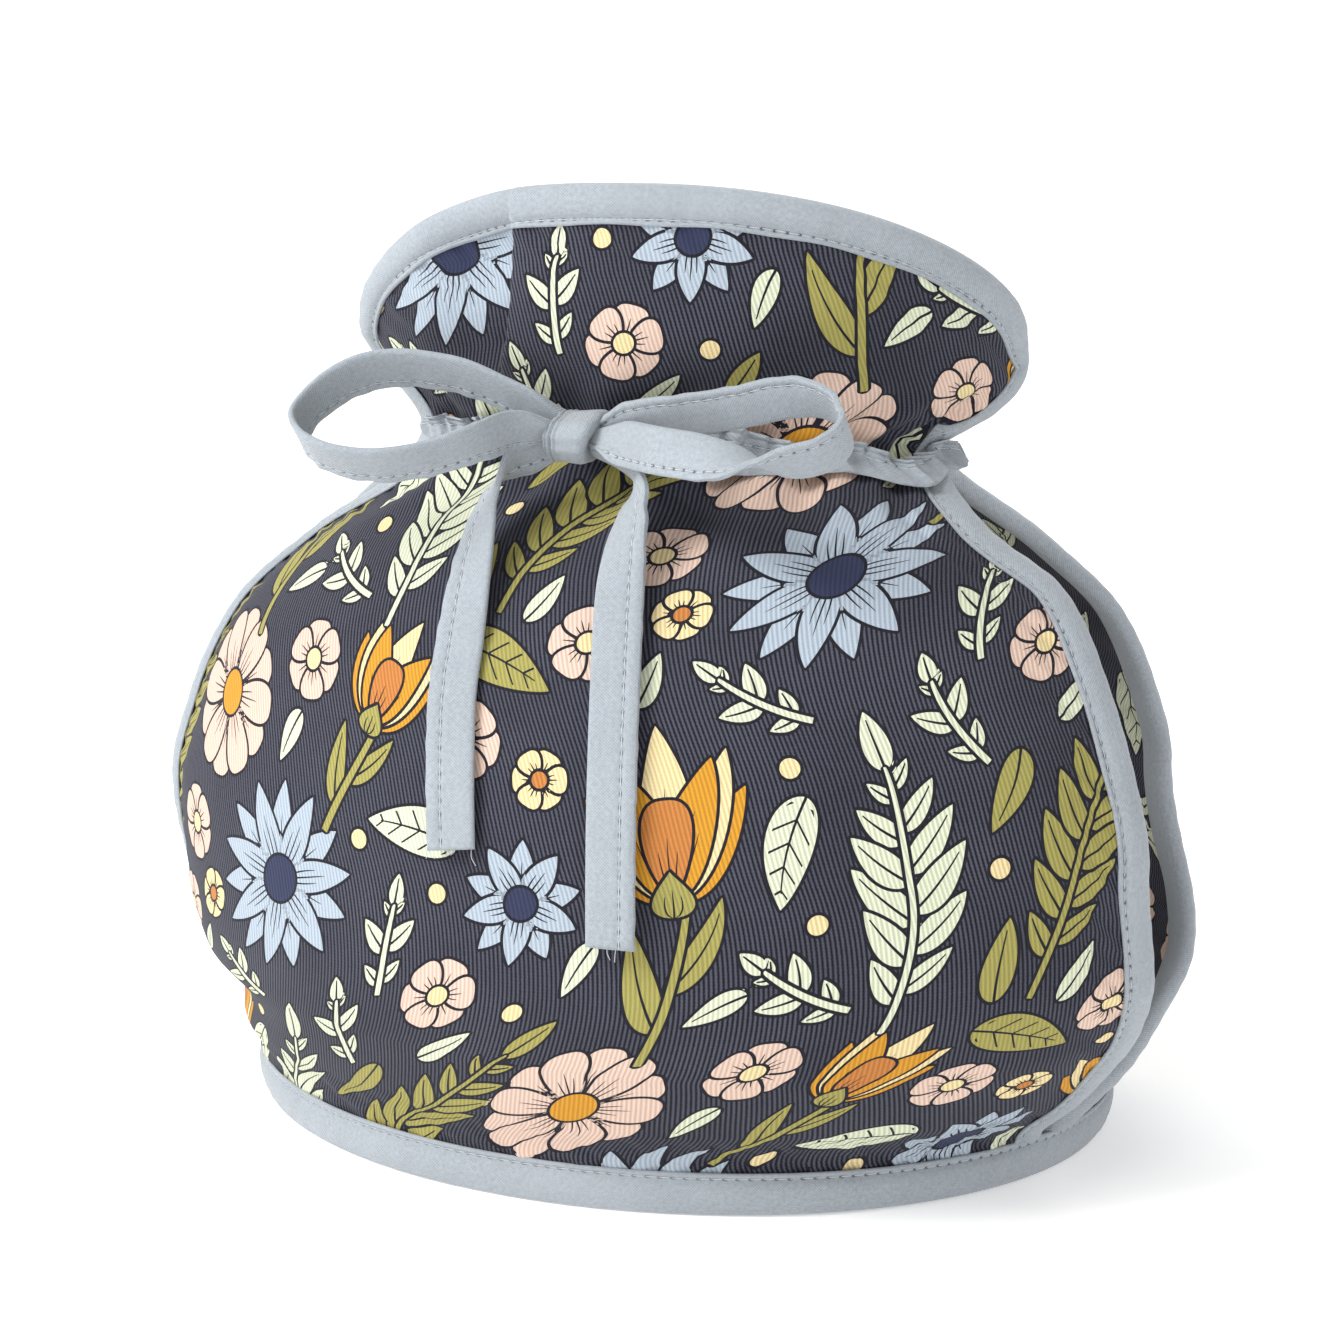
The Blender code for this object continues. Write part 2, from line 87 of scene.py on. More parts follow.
# each route: x, y and z of the tape's middle line, then the way its width stands there
LEFT_LOOP = (
    (-0.0037, -0.0562, 0.1717, 0.00, 0.66, -0.75),
    (-0.0144, -0.0595, 0.1765, 0.00, 0.60, -0.80),
    (-0.0255, -0.0620, 0.1812, 0.00, 0.55, -0.83),
    (-0.0334, -0.0635, 0.1828, 0.00, 0.55, -0.83),
    (-0.0412, -0.0655, 0.1834, 0.00, 0.55, -0.83),
    (-0.0487, -0.0680, 0.1822, 0.00, 0.55, -0.83),
    (-0.0547, -0.0710, 0.1791, 0.00, 0.60, -0.80),
    (-0.0588, -0.0745, 0.1750, 0.00, 0.66, -0.75),
    (-0.0600, -0.0785, 0.1714, 0.00, 0.66, -0.75),
    (-0.0575, -0.0822, 0.1688, 0.00, 0.66, -0.75),
    (-0.0523, -0.0850, 0.1665, 0.00, 0.66, -0.75),
    (-0.0452, -0.0862, 0.1648, 0.00, 0.66, -0.75),
    (-0.0359, -0.0852, 0.1643, 0.00, 0.66, -0.75),
    (-0.0260, -0.0815, 0.1659, 0.00, 0.66, -0.75),
    (-0.0175, -0.0765, 0.1690, 0.00, 0.60, -0.80),
    (-0.0122, -0.0668, 0.1708, 0.00, 0.60, -0.80),
    (-0.0034, -0.0592, 0.1698, 0.00, 0.66, -0.75),
)
RIGHT_LOOP = (
    (0.0016, -0.0562, 0.1701, 0.00, -0.66, 0.75),
    (0.0147, -0.0596, 0.1734, 0.00, -0.45, 0.89),
    (0.0271, -0.0612, 0.1755, 0.00, -0.45, 0.89),
    (0.0393, -0.0625, 0.1779, 0.00, -0.45, 0.89),
    (0.0500, -0.0635, 0.1805, 0.00, -0.45, 0.89),
    (0.0580, -0.0650, 0.1806, 0.00, -0.60, 0.80),
    (0.0638, -0.0675, 0.1781, 0.00, -0.66, 0.75),
    (0.0664, -0.0710, 0.1748, 0.00, -0.66, 0.75),
    (0.0650, -0.0750, 0.1717, 0.00, -0.66, 0.75),
    (0.0603, -0.0775, 0.1696, 0.00, -0.66, 0.75),
    (0.0544, -0.0785, 0.1684, 0.00, -0.80, 0.60),
    (0.0488, -0.0785, 0.1679, 0.00, -1.00, 0.10),
    (0.0417, -0.0775, 0.1680, 0.00, -0.78, -0.62),
    (0.0329, -0.0755, 0.1686, 0.00, -0.36, -0.93),
    (0.0235, -0.0725, 0.1690, 0.00, -0.25, -0.97),
    (0.0135, -0.0652, 0.1690, 0.00, -0.42, -0.90),
    (0.0030, -0.0590, 0.1690, 0.00, -0.60, -0.80),
)
LEFT_TAIL = (
    (-0.0039, -0.0580, 0.1667, 0.00, 0.30, -0.95),
    (-0.0068, -0.0592, 0.1658, 0.00, 0.30, -0.95),
    (-0.0104, -0.0605, 0.1649, 0.00, 0.30, -0.95),
    (-0.0139, -0.0630, 0.1637, -0.10, 0.60, -0.80),
    (-0.0159, -0.0655, 0.1614, -0.40, 0.75, -0.52),
    (-0.0173, -0.0680, 0.1574, -0.58, 0.80, -0.15),
    (-0.0186, -0.0705, 0.1519, -0.75, 0.66, 0.00),
    (-0.0183, -0.0775, 0.1409, -0.95, 0.30, 0.00),
    (-0.0170, -0.0862, 0.1268, -1.00, 0.00, 0.00),
    (-0.0154, -0.0938, 0.1150, -1.00, 0.00, 0.00),
    (-0.0125, -0.1012, 0.0991, -1.00, 0.00, 0.00),
    (-0.0106, -0.1051, 0.0846, -1.00, 0.00, 0.00),
)
RIGHT_TAIL = (
    (0.0019, -0.0580, 0.1672, 0.00, -0.75, 0.66),
    (0.0065, -0.0602, 0.1662, 0.00, -0.78, 0.62),
    (0.0109, -0.0615, 0.1646, 0.10, -0.80, 0.60),
    (0.0151, -0.0635, 0.1620, 0.35, -0.85, 0.40),
    (0.0168, -0.0665, 0.1583, 0.60, -0.80, 0.05),
    (0.0166, -0.0695, 0.1534, 0.80, -0.60, 0.00),
    (0.0171, -0.0745, 0.1467, 0.95, -0.30, 0.00),
    (0.0188, -0.0815, 0.1370, 1.00, 0.00, 0.00),
    (0.0228, -0.0936, 0.1179, 1.00, 0.00, 0.00),
    (0.0255, -0.1017, 0.0983, 1.00, 0.00, 0.00),
    (0.0269, -0.1057, 0.0818, 1.00, 0.00, 0.00),
    (0.0271, -0.1064, 0.0671, 1.00, 0.00, 0.00),
)
SQUEEZED = 0.38  # share of the tape's width where the knot holds it
CRUSHED = 2.2  # times its thickness there
SPREAD = 0.012  # from the knot to the full width
WIDER = 0.08  # share that a tail, which is pressed flat, gains on its way down


def unit(v):
    return v / np.linalg.norm(v, axis=-1, keepdims=True)


def ease(t):
    t = np.clip(t, 0.0, 1.0)
    return t * t * (3.0 - 2.0 * t)


def level(v):
    """The level direction nearest to each way."""
    return unit(v * (1.0, 1.0, 0.0))


def distances(points):
    """Each point's distance along the line through the points."""
    return np.concatenate([[0.0], np.cumsum(np.linalg.norm(np.diff(points, axis=0), axis=1))])


def resampled(points, run, even):
    """The rows that belong to even distances, where points has the rows at the distances run."""
    return np.array([np.interp(even, run, column) for column in points.T]).T


def smooth_line(points, step):
    """Evenly spaced points along a smooth curve through a table's rows, and their distances."""
    points = np.array(points, dtype=float)
    padded = np.vstack([2 * points[0] - points[1], points, 2 * points[-1] - points[-2]])
    fine = []
    for a, b, c, d in zip(padded, padded[1:], padded[2:], padded[3:]):
        for t in np.linspace(0.0, 1.0, 12, endpoint=False):
            fine.append(
                0.5 * (2 * b + (c - a) * t + (2 * a - 5 * b + 4 * c - d) * t**2)
                + 0.5 * (3 * b - a - 3 * c + d) * t**3
            )
    fine = np.array([*fine, points[-1]])
    run = distances(fine[:, :3])
    even = np.linspace(0.0, run[-1], round(run[-1] / step) + 1)
    return resampled(fine, run, even), even


def shaped_grid(name, points, cloth):
    """A grid with its vertices at rows of points, and its UV map at rows of places on the cloth.

    Also returns each vertex's place on the cloth.
    """
    size = np.array(points.shape[1::-1]) - 1
    bpy.ops.object.select_all(action="DESELECT")
    bpy.ops.mesh.primitive_grid_add(x_subdivisions=size[0], y_subdivisions=size[1], size=2.0)
    made = bpy.context.object
    made.name = made.data.name = name
    mesh = made.data
    flat = np.empty(len(mesh.vertices) * 3)
    mesh.vertices.foreach_get("co", flat)
    column, row = np.rint((flat.reshape(-1, 3)[:, :2] + 1.0) / 2.0 * size).astype(int).T
    mesh.vertices.foreach_set("co", points[row, column].ravel())
    corners = np.empty(len(mesh.loops), dtype=np.int32)
    mesh.loops.foreach_get("vertex_index", corners)
    on_cloth = cloth[row, column]
    mesh.uv_layers.active.data.foreach_set("uv", on_cloth[corners].ravel())
    mesh.update()
    return made, on_cloth


def finish_faces():
    """Turns the faces of the piece being edited outwards, smooths them and ends the editing."""
    bpy.ops.mesh.select_all(action="SELECT")
    bpy.ops.mesh.normals_make_consistent(inside=False)
    bpy.ops.mesh.faces_shade_smooth()
    bpy.ops.object.mode_set(mode="OBJECT")


def swept(name, rings, along, closed=False):
    """A soft piece through rings of points: a grid, shaped, and sewn up along its side.

    Its UV map holds the metres along it and the metres round it, which it also returns.
    """
    rings = np.array(rings)
    if closed:
        rings = np.concatenate([rings, rings[:1]])
    rings = np.concatenate([rings, rings[:, :1]], axis=1)
    steps = np.linalg.norm(np.diff(rings, axis=1), axis=2).mean(axis=0)
    around = np.concatenate([[0.0], np.cumsum(steps)])
    made, _ = shaped_grid(name, rings, np.stack(np.meshgrid(along, around, indexing="ij"), axis=-1))
    bpy.ops.object.mode_set(mode="EDIT")
    bpy.ops.mesh.select_all(action="SELECT")
    bpy.ops.mesh.remove_doubles(threshold=0.000001)
    if not closed:
        bpy.ops.mesh.select_all(action="SELECT")
        bpy.ops.mesh.fill_holes(sides=0)
    finish_faces()
    return made, around


def material(name, colour, roughness, sheen):
    """A cloth's material, its node tree and its shader."""
    made = bpy.data.materials.new(name)
    made.use_nodes = True
    made.diffuse_color = (*colour, 1.0)
    shader = made.node_tree.nodes["Principled BSDF"]
    shader.inputs["Base Color"].default_value = (*colour, 1.0)
    shader.inputs["Roughness"].default_value = roughness
    shader.inputs["Specular IOR Level"].default_value = 0.15
    shader.inputs["Sheen Weight"].default_value = sheen
    shader.inputs["Sheen Roughness"].default_value = 0.5
    return made, made.node_tree, shader


class Value:
    """A number that a node gives. Sums on it add Math nodes to the same tree."""

    def __init__(self, tree, socket):
        self.tree = tree
        self.socket = socket

    def through(self, operation, *others):
        made = self.tree.nodes.new("ShaderNodeMath")
        made.operation = operation
        for socket, value in zip(made.inputs, (self, *others)):
            if isinstance(value, Value):
                self.tree.links.new(value.socket, socket)
            else:
                socket.default_value = value
        return Value(self.tree, made.outputs[0])

    __add__ = __radd__ = partialmethod(through, "ADD")
    __mul__ = __rmul__ = partialmethod(through, "MULTIPLY")
    __sub__ = partialmethod(through, "SUBTRACT")
    __truediv__ = partialmethod(through, "DIVIDE")
    __pow__ = partialmethod(through, "POWER")
    __gt__ = partialmethod(through, "GREATER_THAN")
    __lt__ = partialmethod(through, "LESS_THAN")

    def __rsub__(self, other):
        return self * -1.0 + other

    def between(self, low, high):
        return self.through("MAXIMUM", low).through("MINIMUM", high)


def on_the_cloth(tree, layer=""):
    """The UV map, and the metres each way on the cloth that it holds."""
    uv, apart = tree.nodes.new("ShaderNodeUVMap"), tree.nodes.new("ShaderNodeSeparateXYZ")
    uv.uv_map = layer
    tree.links.new(uv.outputs[0], apart.inputs[0])
    return uv.outputs[0], Value(tree, apart.outputs[0]), Value(tree, apart.outputs[1])


def noise(tree, uv, scale, detail):
    """Cloudy unevenness over the cloth, so many clouds to the metre."""
    made = tree.nodes.new("ShaderNodeTexNoise")
    made.inputs["Scale"].default_value = scale
    made.inputs["Detail"].default_value = detail
    tree.links.new(uv, made.inputs["Vector"])
    return Value(tree, made.outputs[0])


def bump(shader, height, strength, distance):
    """Relief too fine for the mesh, such as threads."""
    made = height.tree.nodes.new("ShaderNodeBump")
    made.inputs["Strength"].default_value = strength
    made.inputs["Distance"].default_value = distance
    height.tree.links.new(height.socket, made.inputs["Height"])
    height.tree.links.new(made.outputs[0], shader.inputs["Normal"])


def blend(share, one, other):
    """A mix of two colours, each a socket or a linear colour."""
    links = share.tree.links
    made = share.tree.nodes.new("ShaderNodeMix")
    made.data_type = "RGBA"
    links.new(share.socket, made.inputs["Factor"])
    sockets = [socket for socket in made.inputs if socket.type == "RGBA"]
    for socket, colour in zip(sockets, (one, other)):
        if isinstance(colour, bpy.types.NodeSocket):
            links.new(colour, socket)
        else:
            socket.default_value = (*colour, 1.0)
    return next(socket for socket in made.outputs if socket.type == "RGBA")


def plain_weave(name, pitch=0.0, *stitched):
    """Fine plain cotton cut on the bias: crossed threads, uneven shade, and needle holes.

    The holes lie pitch metres apart along the piece, and at each of stitched metres round it.
    """
    made, tree, shader = material("grey_blue_cotton_" + name, COTTON, 0.85, 0.3)
    uv, along, around = on_the_cloth(tree)
    slub = noise(tree, uv, 1100.0, 5.0)
    shade = noise(tree, uv, 60.0, 4.0)
    threads = []
    for sign in (1.0, -1.0):
        turned = around * sign + along + slub * 0.00025
        threads.append((turned * (2.0 * math.pi / WEAVE_PITCH)).through("SINE") * 0.5 + 0.5)
    weave = threads[0] * (threads[1] * 0.6 + 0.4)
    lit = weave * 0.50 + shade * 0.36 + slub * 0.90 - 0.245
    colour = blend(lit, [0.62 * c for c in COTTON], [1.25 * c for c in COTTON])
    for seam in stitched:
        whole = along / pitch
        off = (whole - whole.through("ROUND")) * (0.62 * pitch)
        aside = around - seam
        radius = (off * off + aside * aside).through("SQRT")
        hole = (1.5 - radius / HOLE_RADIUS).between(0.0, 1.0) * 0.95
        colour = blend(hole, colour, [0.22 * c for c in COTTON])
    tree.links.new(colour, shader.inputs["Base Color"])
    bump(shader, slub * 0.5 + weave, 0.6, 0.00016)
    return made


def stitching(name, line, out, pitch):
    """A sewing thread along a line, above the cloth for most of each stitch, then down a hole."""
    run = distances(line)
    even = np.arange(0.0, run[-1], pitch / 8.0)
    line, out = resampled(line, run, even), unit(resampled(out, run, even))
    share = (np.arange(len(even)) % 8) / 8.0
    rise = (-0.00045, 0.00008, 0.00016, 0.00008, -0.00045)  # out of the cloth, along one stitch
    lift = np.interp(share, (0.0, 0.14, 0.5, 0.86, 1.0), rise)
    line = line + lift[:, None] * out
    tangent = unit(np.gradient(line, axis=0))
    side = unit(np.cross(tangent, out))
    up = np.cross(side, tangent)
    rings = [
        line + THREAD_RADIUS * (math.cos(turn) * side + math.sin(turn) * up)
        for turn in THREAD_SIDES
    ]
    made, _ = swept(name, np.stack(rings, axis=1), even)
    made.data.materials.append(sewing_thread)
    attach(made, "root")
    return made


def fit_cotton(made, node, weave):
    """Gives a cotton piece its cloth, attaches it to the root, and hides the frame's part that it
    stands for.
    """
    made.data.materials.append(weave)
    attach(made, "root")
    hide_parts(node)


def from_knot(points, both_ends):
    """How far each point is from the knot."""
    away = np.linalg.norm(points[:, :3] - points[0, :3], axis=1)
    if both_ends:
        away = np.minimum(away, np.linalg.norm(points[:, :3] - points[-1, :3], axis=1))
    return away


def make_tape(name, route, both_ends, seam):
    """The tape along a route, its middle line and its seam on each face.

    The seam lies at a share of the width from the middle line.
    """
    points, along = smooth_line(route, STITCH_PITCH / 3.0)
    held = ease(from_knot(points, both_ends) / SPREAD)
    width = TAPE_WIDTH * (SQUEEZED + (1.0 - SQUEEZED) * held)
    if not both_ends:
        width = width * (1.0 + WIDER * ease(along / 0.060))
    thick = TAPE_THICK * (CRUSHED + (1.0 - CRUSHED) * held)
    middle = points[:, :3]
    tangent = unit(np.gradient(middle, axis=0))
    wide = unit(points[:, 3:6] - np.sum(points[:, 3:6] * tangent, axis=1, keepdims=True) * tangent)
    face = unit(np.cross(wide, tangent))
    half = [
        (-0.485, 0.42),
        (-0.400, 0.62),
        (-0.200, 0.60),
        (0.000, 0.56),
        (seam - 0.10, 0.54),
        (seam - 0.04, 0.46),
        (seam, 0.30),
        (seam + 0.04, 0.46),
        (seam + 0.09, 0.54),
        (0.480, 0.52),
    ]
    # from the folded edge round, in shares of the width and of the thickness
    under = [(x, -y) for x, y in half[::-1]]
    profile = np.array([(-0.5, 0.0), *half, (0.5, 0.25), (0.482, 0.0), (0.5, -0.25), *under])
    across = profile[:, 0] * np.reshape(width, (-1, 1))
    proud = profile[:, 1] * np.reshape(thick, (-1, 1))
    # the seam pulls the edge into small waves
    turned = along * 2.0 * math.pi
    wave = np.sin(turned / 0.0087) + 0.6 * np.sin(turned / 0.0053 + 1.0)
    bow = 0.00025 * wave[:, None] * np.clip(profile[:, 0] + 0.2, 0.0, 1.0)
    bow = bow + 0.0005 * (profile[:, 0] ** 2 - 0.1)
    out = face[:, None] * (proud + bow)[..., None]
    rings = middle[:, None] + wide[:, None] * across[..., None] + out
    made, around = swept(name, rings, along)
    seams = ((rings[:, 7], face, float(around[7])), (rings[:, 17], -face, float(around[17])))
    return made, points, seams


sewing_thread, _, _ = material("sewing_thread", (0.50, 0.53, 0.56), 0.6, 0.1)

for name, route, far_end, seam in (
    ("tie_loop_left", LEFT_LOOP, "object", 0.32),
    ("tie_loop_right", RIGHT_LOOP, "object", 0.32),
    ("tie_tail_left", LEFT_TAIL, "bare", 0.20),
    ("tie_tail_right", RIGHT_TAIL, "bare", 0.20),
):
    tape, points, seams = make_tape(name + "_tape", route, far_end == "object", seam)
    sewn_at = [distance for _, _, distance in seams]
    fit_cotton(tape, name, plain_weave(name, STITCH_PITCH, *sewn_at))
    threads = [
        stitching(f"{name}_stitches_{side}", sewn, out, STITCH_PITCH)
        for side, (sewn, out, _) in zip(("a", "b"), seams)
    ]
    length = float(distances(points[:, :3])[-1])

# The two tails are cut straight and have begun to fray: short loose threads at the cut.

fray = random.Random(11)
for side, route in (("left", LEFT_TAIL), ("right", RIGHT_TAIL)):
    end = np.array(route[-1][:3])
    hang = unit(end - np.array(route[-2][:3]))
    for number in range(7 if side == "left" else 3):
        start = end + np.array((fray.uniform(-0.0050, 0.0050), 0.0, 0.0)) - 0.0006 * hang
        if side == "left" and number < 4:
            start[0] = end[0] - fray.uniform(0.0044, 0.0053)
        aside = fray.uniform(-0.0016, 0.0012)
        length = fray.uniform(0.0016, 0.0042)
        half_way = start + hang * length * 0.5 + (aside * 0.2, -0.0004, 0)
        tip = start + hang * length + (aside, -0.0002, 0)
        line, along = smooth_line([start, half_way, tip], 0.0003)
        round_it = [np.array((math.cos(a), math.sin(a), 0.0)) for a in THREAD_SIDES]
        rings = np.stack([line + FRAYED_RADIUS * way for way in round_it], axis=1)
        made, _ = swept(f"tail_{side}_thread_{number}", rings, along)
        made.data.materials.append(sewing_thread)
        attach(made, "root")

# The knot: a turn of the same tape, drawn tight round the place where the others cross, with
# its left side creased into ridges.

KNOT = (-0.0013, -0.0560, 0.1689)
KNOT_WIDE, KNOT_DEEP, KNOT_HIGH = 0.0104, 0.0184, 0.0103
turns = np.linspace(0.0, 2.0 * math.pi, 72, endpoint=False)
across = np.linspace(-0.5, 0.5, 33)
from_left = across + 0.5
creased = np.clip(1.7 - from_left * 4.2, 0.0, 1.0)
ridges = 0.00060 * np.cos(from_left * 2.0 * math.pi / 0.13) * creased
crown = 0.0013 * (1.0 - (2.0 * across) ** 6) + ridges
lips = [(0.46, -0.0030), (-0.46, -0.0030)]
rings = []
for turn in turns:
    cos, sin = math.cos(turn), math.sin(turn)
    reach = 1.0 / (abs(cos) ** 2.6 + abs(sin) ** 2.6) ** (1 / 2.6)
    pucker = 0.00022 * math.sin(5.0 * turn + 0.6) + 0.00014 * math.sin(11.0 * turn)
    ring = []
    for share, proud in [*zip(across, crown + pucker), *lips]:
        skew = 0.0012 * sin * share
        ring.append(
            (
                KNOT[0] + KNOT_WIDE * share * (1.0 + 0.10 * sin) + 0.0009 * sin,
                KNOT[1] - (KNOT_DEEP / 2.0 * reach - 0.0009 + proud) * cos,
                KNOT[2] + (KNOT_HIGH / 2.0 * reach - 0.0009 + proud) * sin + skew,
            )
        )
    rings.append(ring)
knot, _ = swept("tie_knot_tape", rings, np.linspace(0.0, 0.042, 73), closed=True)
fit_cotton(knot, "tie_knot", plain_weave("knot"))

# ---------------------------------------------------------------------------- the leaves
# Two wadded leaves of printed cotton twill, lined with the same cloth. Each is cut to a dome
# with a narrow neck, gathered there by the drawstring, and flares above it as a collar.

WADDED = 0.0050  # a leaf with its wadding
PRESSED = 0.0024  # the same cloth where a binding or the hem band squeezes it
PINCH = 0.0009  # how far the squeezed face is drawn in
SWELL = 0.014  # from a squeezed strip to the full wadding
STRIP = 0.0100  # the border that a binding covers
HEM_HEIGHT = 0.0098
HEM_INSIDE = 0.0017  # where the leaves end inside the hem band
ABOVE_HEM = HEM_HEIGHT + 0.0009
NECK = 0.1650  # where the drawstring gathers the leaves
CORNER = 0.175  # the front collar's lower corner on the right stands out here
RIM_BASE = 0.1840
RIM_MIDDLE = 10.0  # degrees, where the rim is highest
SAG_HEIGHT = 0.042
FOLDED = 1.45  # deepens the folds of the tables below
WAVED = 0.00045  # depth of the soft waves in the wadding
DRAWN = 0.0013  # depth of the fine gathers at the neck
PLEATED, PLEATED_AT_RIM = 0.0054, 0.0032  # depth of the pleat in the front collar
PUCKERED = 0.00028  # depth of the puckers beside the seams
NARROWING = 1.3  # how much the threads sink towards a leaf's sides at the hem
# level sections: height, half width, half depth, shift, left angle, right angle
LEVELS = np.array(
    (
        (0.0000, 0.1062, 0.0875, 0.0000, -109.0, 70.0),
        (0.0105, 0.1080, 0.0885, 0.0000, -107.3, 70.0),
        (0.0200, 0.1148, 0.0930, 0.0025, -98.0, 70.4),
        (0.0300, 0.1210, 0.0980, 0.0050, -87.0, 69.8),
        (0.0400, 0.1285, 0.1015, 0.0065, -76.0, 67.8),
        (0.0550, 0.1345, 0.1040, 0.0085, -66.0, 64.7),
        (0.0800, 0.1358, 0.1040, 0.0070, -59.0, 63.3),
        (0.1000, 0.1310, 0.0990, 0.0071, -59.5, 63.3),
        (0.1200, 0.1206, 0.0900, 0.0085, -64.5, 63.5),
        (0.1380, 0.1025, 0.0765, 0.0115, -70.0, 64.5),
        (0.1500, 0.0854, 0.0625, 0.0110, -65.0, 61.0),
        (0.1580, 0.0750, 0.0520, 0.0065, -58.0, 66.0),
        (0.1650, 0.0690, 0.0460, 0.0020, -53.0, 77.0),
        (0.1720, 0.0735, 0.0480, 0.0030, -50.0, 85.0),
        (0.1800, 0.0795, 0.0530, 0.0030, -49.0, 90.0),
        (0.1900, 0.0850, 0.0570, 0.0020, -49.0, 93.0),
        (0.2000, 0.0865, 0.0590, 0.0020, -49.0, 95.0),
        (0.2150, 0.0855, 0.0600, 0.0020, -49.0, 95.0),
        (0.2320, 0.0850, 0.0600, 0.0010, -49.0, 95.0),
    )
)
# folds: across the leaf from -1 to 1, height, half width, half height, depth
FRONT_FOLDS = (
    (-0.78, 0.165, 0.12, 0.024, 0.0014),
    (-0.53, 0.165, 0.14, 0.032, 0.0018),
    (-0.04, 0.165, 0.13, 0.030, 0.0018),
    (0.24, 0.165, 0.13, 0.034, 0.0020),
    (0.52, 0.165, 0.13, 0.030, 0.0018),
    (0.74, 0.165, 0.12, 0.024, 0.0014),
    (-0.50, 0.205, 0.16, 0.026, 0.0026),
    (-0.60, 0.028, 0.30, 0.011, 0.0024),
)
BACK_FOLDS = (
    (-0.78, 0.165, 0.12, 0.024, 0.0014),
    (-0.54, 0.165, 0.13, 0.032, 0.0018),
    (-0.28, 0.165, 0.13, 0.034, 0.0020),
    (0.00, 0.165, 0.13, 0.028, 0.0016),
    (0.28, 0.165, 0.13, 0.032, 0.0020),
    (0.54, 0.165, 0.13, 0.030, 0.0016),
    (0.74, 0.165, 0.12, 0.024, 0.0014),
    (0.40, 0.205, 0.16, 0.028, 0.0022),
)
COLUMNS = 320
BODY_ROWS = 176
COLLAR_ROWS = 54


def slopes(x, y):
    """Slopes for a smooth curve through the rows of a table, level at its high and low rows."""
    step = np.diff(y) / np.diff(x)
    before, after = step[:-1], step[1:]
    product = before * after
    total = np.where(before + after == 0.0, 1.0, before + after)
    inner = np.where(product > 0.0, 2.0 * product / total, 0.0)
    return np.concatenate([step[:1], inner, step[-1:]])


LEVEL_SLOPES = np.array([slopes(LEVELS[:, 0], column) for column in LEVELS.T]).T


def section(height):
    """Half width, half depth, shift, left and right angle of the sections at heights."""
    x = LEVELS[:, 0]
    height = np.asarray(height, dtype=float)
    k = np.clip(np.searchsorted(x, height) - 1, 0, len(x) - 2)
    wide = x[k + 1] - x[k]
    t = np.clip((height - x[k]) / wide, 0.0, 1.0)[..., None]
    wide = wide[..., None]
    rows = (
        (1 + 2 * t) * (1 - t) ** 2 * LEVELS[k]
        + t * (1 - t) ** 2 * wide * LEVEL_SLOPES[k]
        + t * t * (3 - 2 * t) * LEVELS[k + 1]
        + t * t * (t - 1) * wide * LEVEL_SLOPES[k + 1]
    )
    return tuple(rows[..., column] for column in range(1, 6))


def hump(t):
    return np.where(np.abs(t) < 1.0, 0.5 + 0.5 * np.cos(math.pi * t), 0.0)


